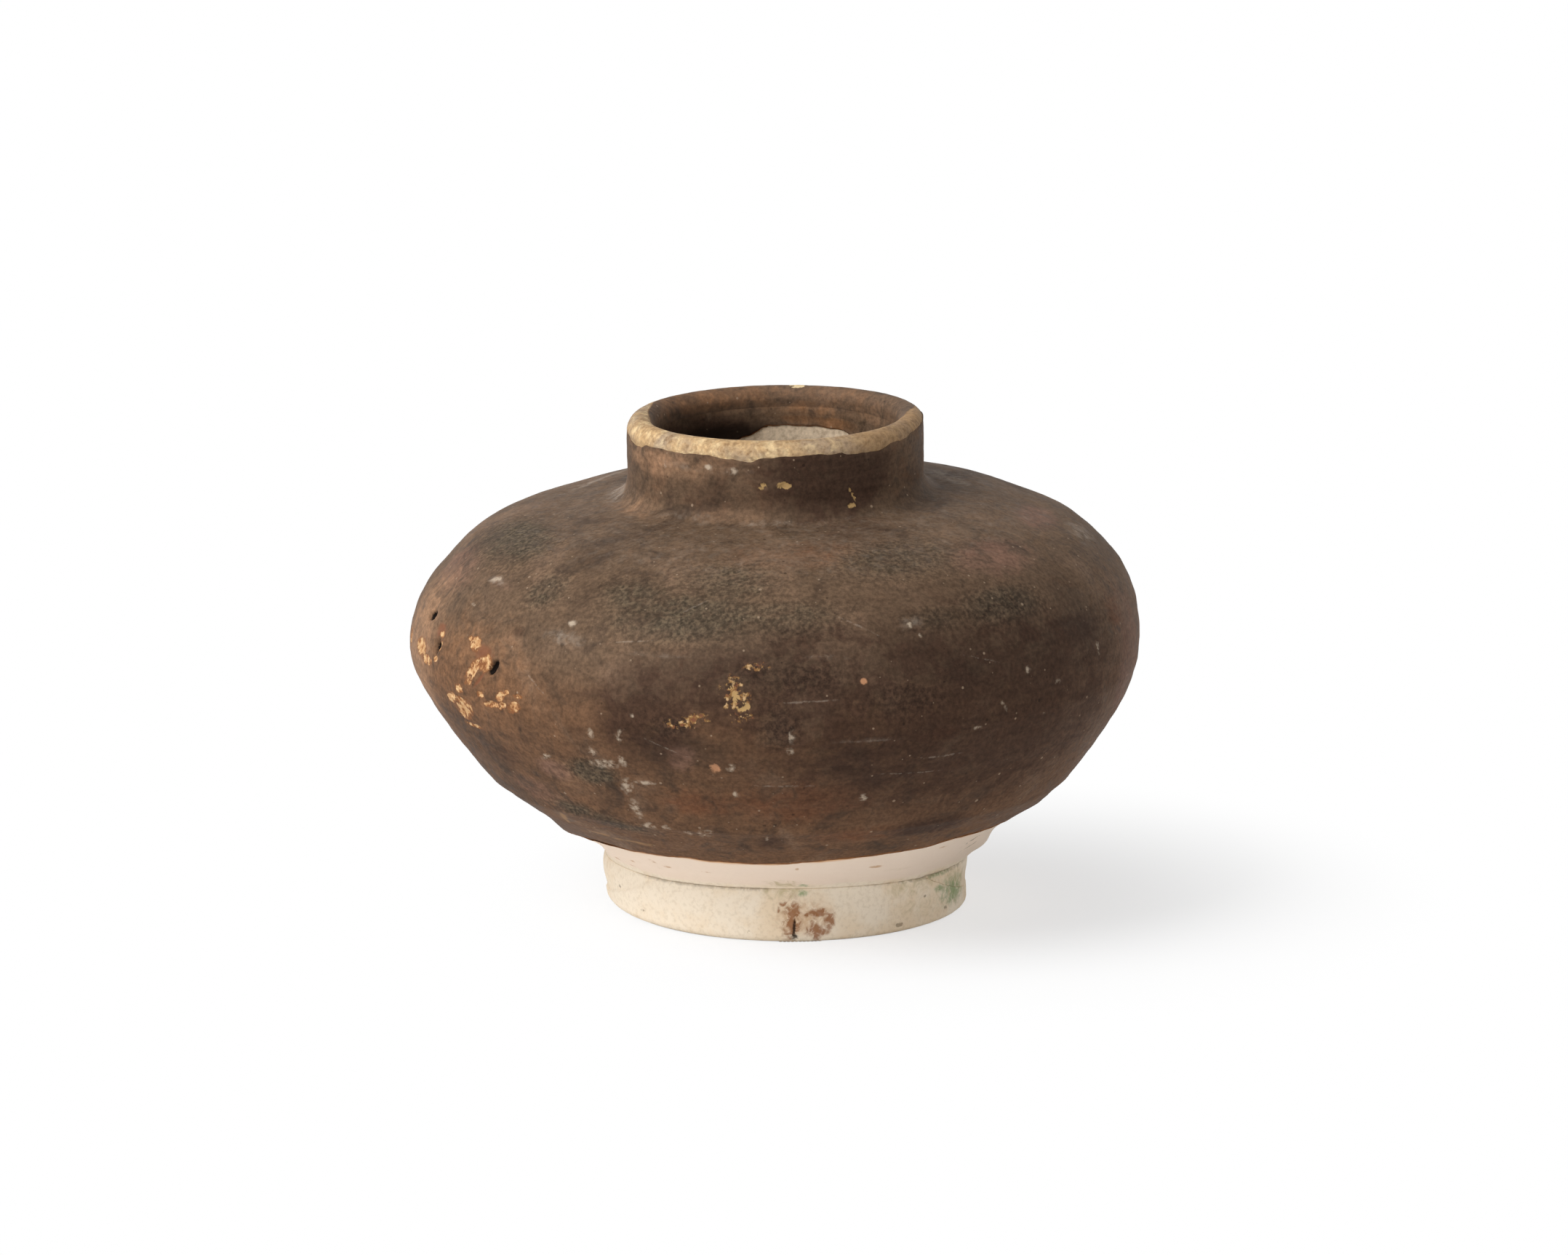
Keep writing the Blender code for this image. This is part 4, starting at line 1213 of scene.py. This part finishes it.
class JAR_OT_bare_bowl(bpy.types.Operator):
    """Throw the lower half with its bare turned underside, its floor and its pad"""

    bl_idname = "jar.bare_bowl"
    bl_label = "Bare Bowl"

    def execute(self, context):
        form, wear, colours = settings_of(context)
        size, bedded = form.size, form.size.glaze_proud
        start, groove = form.underside_start, GROOVE_DEPTH
        pad_radius, pad_level = form.foot_bore_radius - CLEARANCE, size.foot_height - PAD_DROP
        first = form.underside_point(1.2 * groove, 0.0)
        line = form.underside_point(form.glaze_line, bedded)
        pad = joined(
            [flat(0.0, pad_level)], straight(flat(PAD_MIDDLE, pad_level), flat(pad_radius, pad_level), 4),
            [flat(pad_radius, start.z)],
        )
        outside = joined(
            curve(flat(start.x - groove, start.z), flat(start.x - groove * 0.6, start.z + groove * 0.1),
                  first - form.climb * groove * 0.4, first, 4),
            straight(first, line, 20),
            straight(line, form.knuckle_point(bedded), 6),
            form.flank(bedded, 14),
        )
        outside[-1].z -= CLEARANCE / 2.0
        inside = form.flank(form.inside_depth, 14)
        inside[-1].z -= CLEARANCE / 2.0
        floor_level = size.foot_height + size.floor_wall
        end = flat(size.foot_radius * FLOOR_FLAT_SHARE, floor_level)
        handle = (inside[0].x - end.x) * FLOOR_CURVE_SHARE
        floor = curve(inside[0], inside[0] - direction(form.underside_angle) * handle,
                      end + flat(handle, 0.0), end, 8)
        inner = joined(inside[::-1], floor, [flat(0.0, floor_level)])
        shape = spun([(pad, 0.0, 0.0), (outside, 1.0, 1.0), (inner, 0.0, 0.0)], CLAY_SEGMENTS)
        refine(shape, form, UNDERSIDE_MARKS)
        skin = Skin("bare_bowl", shape)
        skin.off_joint = rise = np.maximum(skin.heights() - start.z, 0.0)
        skin.weather(form, wear, UNDERSIDE_MARKS + under_deep_marks(), UNDERSIDE_ZONES)
        skin.mask_joint(JOINT_ON_BOWL)
        skin.mask("turned", smooth(rise / TURNED_RISE))
        line_rise = by_bearing(GLAZE_LINE, bearings_of(skin.points)) * MM * form.climb.z
        skin.mask("flash", smooth(1.0 - (line_rise - rise) / FLASH_WIDTH))
        skin.finish("lower_bowl", "body_clay", turned_cream_clay, colours)
        return {"FINISHED"}


class JAR_OT_seam_coil(bpy.types.Operator):
    """Press the flattened coil of clay over the inside of the girth seam"""

    bl_idname = "jar.seam_coil"
    bl_label = "Seam Coil"

    def execute(self, context):
        form, _, colours = settings_of(context)
        below = form.flank(form.coil_depth, FLANK_COIL_STEPS)[COIL_START:]
        above = form.shoulder(form.coil_depth, SHOULDER_COIL_STEPS)[:COIL_END]
        wall = joined(below, above)
        bulge = flat(COIL_THICKNESS * BULGE_SHARE, 0.0)
        face = curve(wall[-1], wall[-1] - bulge, wall[0] - bulge, wall[0], 14)
        skin = Skin("seam_coil", spun([(wall, 0.0, 0.0), (face[1:-1], 0.0, 0.0)], COIL_SEGMENTS))
        radii = skin.radii()
        inner = form.size.girth_radius - form.coil_depth - COIL_THICKNESS
        dimple = 1.0 + noise_at(skin.points, COIL_DIMPLE_SIZE)
        pressed = COIL_DIMPLE * dimple * smooth((inner + COIL_ROUNDING - radii) / COIL_ROUNDING)
        skin.scale_radii(1.0 + pressed / radii)
        skin.points = form.warp(skin.points)
        skin.settle()
        skin.finish("girth_coil", "body_clay", thrown_buff_clay, colours)
        return {"FINISHED"}


class JAR_OT_shoulder_wall(bpy.types.Operator):
    """Throw the upper half, with the mouth and the seat for the neck"""

    bl_idname = "jar.shoulder_wall"
    bl_label = "Shoulder Wall"

    def execute(self, context):
        form, wear, colours = settings_of(context)
        bedded = form.size.glaze_proud
        rebate = form.landing_point(bedded, COLLAR_MARGIN + CLEARANCE)
        outside = form.shoulder(bedded, 36) + [rebate]
        outside[0].z += CLEARANCE / 2.0
        seat = [flat(rebate.x, form.seat_level()), flat(form.bore_radius, form.seat_level())]
        inside = form.shoulder(form.inside_depth, 30)
        inside[0].z += CLEARANCE / 2.0
        corner = flat(form.bore_radius + MOUTH_ROUNDING, inside[-1].z + MOUTH_ROUNDING)
        rounding = arc(corner, MOUTH_ROUNDING, 180.0, 270.0, 6)
        inner = joined(seat, rounding, inside[::-1])
        skin = Skin("shoulder_wall", spun([(outside, 1.0, 1.0), (inner, 0.0, 0.0)], CLAY_SEGMENTS))
        skin.weather(form, wear, under_deep_marks())
        skin.masks.clear()
        skin.finish("upper_bowl", "body_clay", thrown_buff_clay, colours)
        return {"FINISHED"}


class JAR_OT_neck_and_lip(bpy.types.Operator):
    """Throw the short neck with its rounded, rubbed lip"""

    bl_idname = "jar.neck_and_lip"
    bl_label = "Neck and Lip"

    def execute(self, context):
        form, wear, colours = settings_of(context)
        size, bedded = form.size, form.size.glaze_proud
        flange_edge = form.landing_point(bedded, COLLAR_MARGIN)
        bottom = form.seat_level() + CLEARANCE
        neck_wall = form.fillet(bedded, 8)
        half_wall = size.neck_wall / 2.0
        lip_centre = flat(size.neck_radius - half_wall, form.rim_level - half_wall)
        lip = arc(lip_centre, half_wall, 0.0, 180.0, 24)
        lip_start = flat(neck_wall[-1].x, form.glaze_stop_level - LIP_BLEND)
        bore = form.bore_radius + CLEARANCE
        bore_top = flat(bore, form.glaze_stop_level - BORE_MARGIN)
        outside = joined(
            [flange_edge], neck_wall, straight(neck_wall[-1], lip_start, 8),
            straight(lip_start, lip[0], 10), lip, straight(lip[-1], bore_top, 6),
            straight(bore_top, flat(bore, bottom + BORE_MARGIN), 16),
        )
        flange = [flat(bore, bottom), flat(flange_edge.x, bottom)]
        skin = Skin("neck_and_lip", spun([(outside, 1.0, 1.0), (flange, 0.0, 0.0)], CLAY_SEGMENTS))
        bearings, heights, radii = bearings_of(skin.points), skin.heights(), skin.radii()
        section = np.degrees(np.arctan2(heights - lip_centre.z, radii - lip_centre.x))
        section = np.where(section < INSIDE_SECTION, WELL_INSIDE, section)
        limit = by_bearing(BARE_LIP, bearings)
        glazed = np.where(limit <= ALL_GLAZED, 1.0, 0.5 + (section - limit) / LIP_FADE)
        inner_edge = by_bearing(INNER_EDGE, bearings) * MM + INNER_OVERLAP
        inside = (radii < lip_centre.x) & (heights < inner_edge)
        glazed = np.where(inside, 0.0, glazed)
        skin.weather(form, wear, LIP_MARKS, MOUTH_ZONES)
        skin.mask("inside", inside.astype(float))
        skin.mask("glazed", np.clip(glazed, 0.0, 1.0))
        skin.mask("dull", by_bearing(DULL_LIP, bearings))
        skin.finish("neck_collar", "lip_clay", rubbed_tan_lip, colours, wear)
        return {"FINISHED"}


class JAR_OT_neck_inner_coat(bpy.types.Operator):
    """Run the glaze down inside the neck to its wandering lower edge"""

    bl_idname = "jar.neck_inner_coat"
    bl_label = "Neck Inner Coat"

    def execute(self, context):
        form, wear, colours = settings_of(context)
        bore, coat = form.bore_radius, form.size.glaze_coat
        bottom, top = form.inner_stop_level, form.glaze_stop_level
        face = joined([flat(bore + coat * 0.6, top)],
                      straight(flat(bore, top - 3.0 * coat), flat(bore, bottom + coat), 22))
        behind = flat(bore + coat, bottom)
        edge = curve(face[-1], flat(bore, bottom), flat(bore + coat * 0.5, bottom), behind, 4)
        back = straight(behind, flat(bore + coat, top), 6)
        loops = [(joined(face, edge), 1.0, 1.0), (back[1:], -1.0, 0.0)]
        skin = Skin("neck_inner_coat", spun(loops, CLAY_SEGMENTS))
        bearings, heights = bearings_of(skin.points), skin.heights()
        line = by_bearing(INNER_EDGE, bearings) * MM + wander(skin.points, wear, 2.0)
        skin.points[:, 2] += (line - bottom) * smooth(1.0 - (heights - bottom) / (top - bottom))
        above = skin.heights() - line
        skin.weather(form, wear, (), MOUTH_ZONES)
        skin.mask("rim", INNER_RIM * np.clip(1.0 - above / INNER_RIM_WIDTH, 0.0, 1.0))
        skin.finish("neck_inner_glaze", "brown_glaze", iron_brown_glaze, colours, wear)
        return {"FINISHED"}


class JAR_OT_glaze_coat(bpy.types.Operator):
    """Dip the outside in brown glaze, with its wandering edges, chips, pits and crusts"""

    bl_idname = "jar.glaze_coat"
    bl_label = "Glaze Coat"

    def execute(self, context):
        form, wear, colours = settings_of(context)
        coat, climb = form.size.glaze_coat, form.climb
        outer = form.glazed_side(0.0, COAT_STEPS)
        inner = form.glazed_side(coat, COAT_BACK_STEPS)
        lower = curve(inner[0], inner[0].lerp(outer[0], 0.7), outer[0] - climb * coat * 0.4,
                      outer[0] + climb * coat * 0.5, 5)
        upper = curve(outer[-1], outer[-1] + flat(0.0, coat * 0.6),
                      inner[-1] + flat(coat * 0.2, coat * 0.6), inner[-1], 5)
        shape = spun([
            (lower[1:], 1.0, 1.0), (outer[1:], 1.0, 1.0), (upper[1:-1], 1.0, 1.0), (inner[::-1], -1.0, 0.0),
        ], COAT_SEGMENTS)
        refine(shape, form, COAT_MARKS)
        skin = Skin("glaze_coat", shape)
        bearings, heights = bearings_of(skin.points), skin.heights()
        line = by_bearing(GLAZE_LINE, bearings) * MM + wander(skin.points, wear, 0.0)
        along = (heights - form.underside_start.z) / climb.z
        ease = smooth(1.0 - (along - form.glaze_line) / (form.underside.length - form.glaze_line))
        shift = np.where(heights < form.knuckle_level, (line - form.glaze_line) * ease, 0.0)
        above_line = along + shift - line
        skin.scale_radii(1.0 + shift * climb.x / skin.radii())
        skin.points[:, 2] += shift * climb.z
        top = by_bearing(NECK_EDGE, bearings) * MM + wander(skin.points, wear, 1.0)
        neck_start = form.fillet_centre.z
        ease = smooth((heights - neck_start) / (form.glaze_stop_level - neck_start))
        skin.points[:, 2] += np.where(heights > neck_start, (top - form.glaze_stop_level) * ease, 0.0)
        skin.weather(form, wear, COAT_MARKS, COAT_ZONES)
        skin.mask("rim", np.clip(1.0 - above_line / RIM_WIDTH, 0.0, 1.0))
        on_neck = heights - form.shoulder_level
        skin.mask("rust", NECK_RUST * smooth(on_neck / NECK_RUST_RISE))
        # dust and painted sheen round the top of the shoulder
        dust_sheen_ring = smooth((heights - DUST_SHEEN_LEVEL) / DUST_SHEEN_RISE) * (1.0 - smooth(on_neck / DUST_SHEEN_FALL))
        skin.mask("dust_and_sheen", SHOULDER_DUST_AND_SHEEN * dust_sheen_ring)
        skin.finish("outer_glaze", "brown_glaze", iron_brown_glaze, colours, wear)
        return {"FINISHED"}


# The stage

# Half the floor's width and how far the camera sees, in metres, and its sensor's width in millimetres
FLOOR_REACH = 1.6
SEEN_TO = 20.0
SENSOR_WIDTH = 36.0
SEEN_RAYS = ("Is Camera Ray", "Is Glossy Ray", "Is Transmission Ray")


def seen_rays(tree):
    """1 for rays that show a thing to the eye, 0 for those that only light other things."""
    path = add(tree, "ShaderNodeLightPath")
    rays = path.outputs[SEEN_RAYS[0]]
    for name in SEEN_RAYS[1:]:
        rays = add(tree, "ShaderNodeMath", {0: rays, 1: path.outputs[name]}, operation="MAXIMUM").outputs[0]
    return rays


class JAR_OT_studio(bpy.types.Operator):
    """Lay the pale floor and set up the soft light and the camera"""

    bl_idname = "jar.studio"
    bl_label = "Studio"

    def execute(self, context):
        scene = context.scene
        self.lay_floor(scene.studio, scene.jar_colours)
        self.set_key_light(scene, scene.studio)
        self.set_world(scene, scene.studio)
        self.set_camera(scene, scene.studio)
        scene.view_settings.view_transform = "Standard"
        return {"FINISHED"}

    def lay_floor(self, studio, colours):
        """White paper that keeps a light shadow near the jar and goes white further off."""
        shape = bmesh.new()
        bmesh.ops.create_grid(shape, x_segments=8, y_segments=8, size=FLOOR_REACH)
        mesh = bpy.data.meshes.new("studio_floor")
        shape.to_mesh(mesh)
        shape.free()
        surface = bpy.data.materials.new("studio_paper")
        surface.use_nodes = True
        tree = surface.node_tree
        tree.nodes.clear()
        place = add(tree, "ShaderNodeTexCoord").outputs["Object"]
        distance = add(tree, "ShaderNodeVectorMath", {
            0: place, 1: (studio.shadow_right, studio.shadow_back, 0.0),
        }, operation="DISTANCE")
        far = add(tree, "ShaderNodeMapRange", {
            "Value": distance.outputs["Value"], "From Min": studio.shadow_start,
            "From Max": studio.shadow_end, "To Min": studio.paper_white, "To Max": 1.0,
        }, interpolation_type="SMOOTHSTEP")
        white = add(tree, "ShaderNodeMath", {0: far.outputs[0], 1: seen_rays(tree)}, operation="MULTIPLY")
        paper = add(tree, "ShaderNodeBsdfDiffuse", {"Color": (*colours.floor_white, 1.0)})
        glow = add(tree, "ShaderNodeEmission", {"Color": WHITE, "Strength": 1.0})
        mixed = add(tree, "ShaderNodeMixShader", {
            0: white.outputs[0], 1: paper.outputs[0], 2: glow.outputs[0],
        })
        add(tree, "ShaderNodeOutputMaterial", {"Surface": mixed.outputs[0]})
        mesh.materials.append(surface)
        floor = bpy.data.objects.new("studio_floor", mesh)
        bpy.context.scene.collection.objects.link(floor)

    def set_key_light(self, scene, studio):
        """A large soft lamp at the front left."""
        data = bpy.data.lights.new("key_light", "AREA")
        data.shape, data.size, data.energy = "DISK", studio.key_size, studio.key_watts
        key = bpy.data.objects.new("key_light", data)
        across = math.cos(studio.key_elevation)
        away = Vector((across * math.sin(studio.key_bearing), -across * math.cos(studio.key_bearing),
                       math.sin(studio.key_elevation)))
        key.location = Vector((0.0, 0.0, studio.aim_height)) + away * studio.key_distance
        key.rotation_euler = away.to_track_quat("Z", "Y").to_euler()
        scene.collection.objects.link(key)

    def set_world(self, scene, studio):
        """Light from all round, weaker from above than from the horizon, and white to the eye."""
        world = bpy.data.worlds.new("studio_light")
        world.use_nodes = True
        tree = world.node_tree
        tree.nodes.clear()
        ray = add(tree, "ShaderNodeTexCoord").outputs["Generated"]
        height = add(tree, "ShaderNodeSeparateXYZ", {0: ray}).outputs["Z"]
        level = add(tree, "ShaderNodeMapRange", {"Value": height, "To Min": 1.0, "To Max": 0.0}).outputs[0]
        squared = add(tree, "ShaderNodeMath", {0: level, 1: 2.0}, operation="POWER").outputs[0]
        plain = add(tree, "ShaderNodeMath", {0: squared, 1: studio.horizon, 2: studio.ambient},
                    operation="MULTIPLY_ADD").outputs[0]
        strength = add(tree, "ShaderNodeMix", {0: seen_rays(tree), 2: plain, 3: 1.0}, data_type="FLOAT")
        background = add(tree, "ShaderNodeBackground", {"Color": WHITE, "Strength": strength.outputs[0]})
        add(tree, "ShaderNodeOutputWorld", {"Surface": background.outputs[0]})
        scene.world = world

    def set_camera(self, scene, studio):
        """The photographed view: low, from far off, square to the front."""
        back = Vector((0.0, -math.cos(studio.elevation), math.sin(studio.elevation)))
        up = Vector((0.0, math.sin(studio.elevation), math.cos(studio.elevation)))
        aim = Vector((0.0, 0.0, studio.aim_height))
        middle = aim + Vector((studio.frame_right, 0.0, 0.0)) + up * studio.frame_up
        data = bpy.data.cameras.new("camera")
        data.lens, data.sensor_width, data.clip_end = studio.focal_length, SENSOR_WIDTH, SEEN_TO
        camera = bpy.data.objects.new("camera", data)
        camera.location = aim + back * studio.distance
        camera.rotation_euler = (middle - camera.location).to_track_quat("-Z", "Y").to_euler()
        scene.collection.objects.link(camera)
        scene.camera = camera


PIECES = (
    JAR_OT_turned_foot, JAR_OT_bare_bowl, JAR_OT_seam_coil, JAR_OT_shoulder_wall,
    JAR_OT_neck_and_lip, JAR_OT_neck_inner_coat, JAR_OT_glaze_coat, JAR_OT_studio,
)
GROUPS = {"jar_sizes": JarSizes, "jar_wear": JarWear, "jar_colours": JarColours, "studio": StudioSettings}


class JAR_PT_builder(bpy.types.Panel):
    """Lists the jar's sizes, wear and colours, and the steps that build it"""

    bl_idname = "JAR_PT_builder"
    bl_label = "Glazed Jar"
    bl_space_type = "VIEW_3D"
    bl_region_type = "UI"
    bl_category = "Jar"

    def draw(self, context):
        for operator in PIECES:
            self.layout.operator(operator.bl_idname)
        for group_name in GROUPS:
            group = getattr(context.scene, group_name)
            box = self.layout.box()
            for name in group.__annotations__:
                box.prop(group, name)


def register():
    for group in (*GROUPS.values(), *PIECES, JAR_PT_builder):
        bpy.utils.register_class(group)
    for name, group in GROUPS.items():
        setattr(bpy.types.Scene, name, bpy.props.PointerProperty(type=group))


def unregister():
    for name in GROUPS:
        delattr(bpy.types.Scene, name)
    for group in reversed((*GROUPS.values(), *PIECES, JAR_PT_builder)):
        bpy.utils.unregister_class(group)


def main():
    """Builds every piece and the stage."""
    register()
    bpy.ops.jar.turned_foot()
    bpy.ops.jar.bare_bowl()
    bpy.ops.jar.seam_coil()
    bpy.ops.jar.shoulder_wall()
    bpy.ops.jar.neck_and_lip()
    bpy.ops.jar.neck_inner_coat()
    bpy.ops.jar.glaze_coat()
    bpy.ops.jar.studio()
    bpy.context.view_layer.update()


if __name__ == "__main__":
    main()
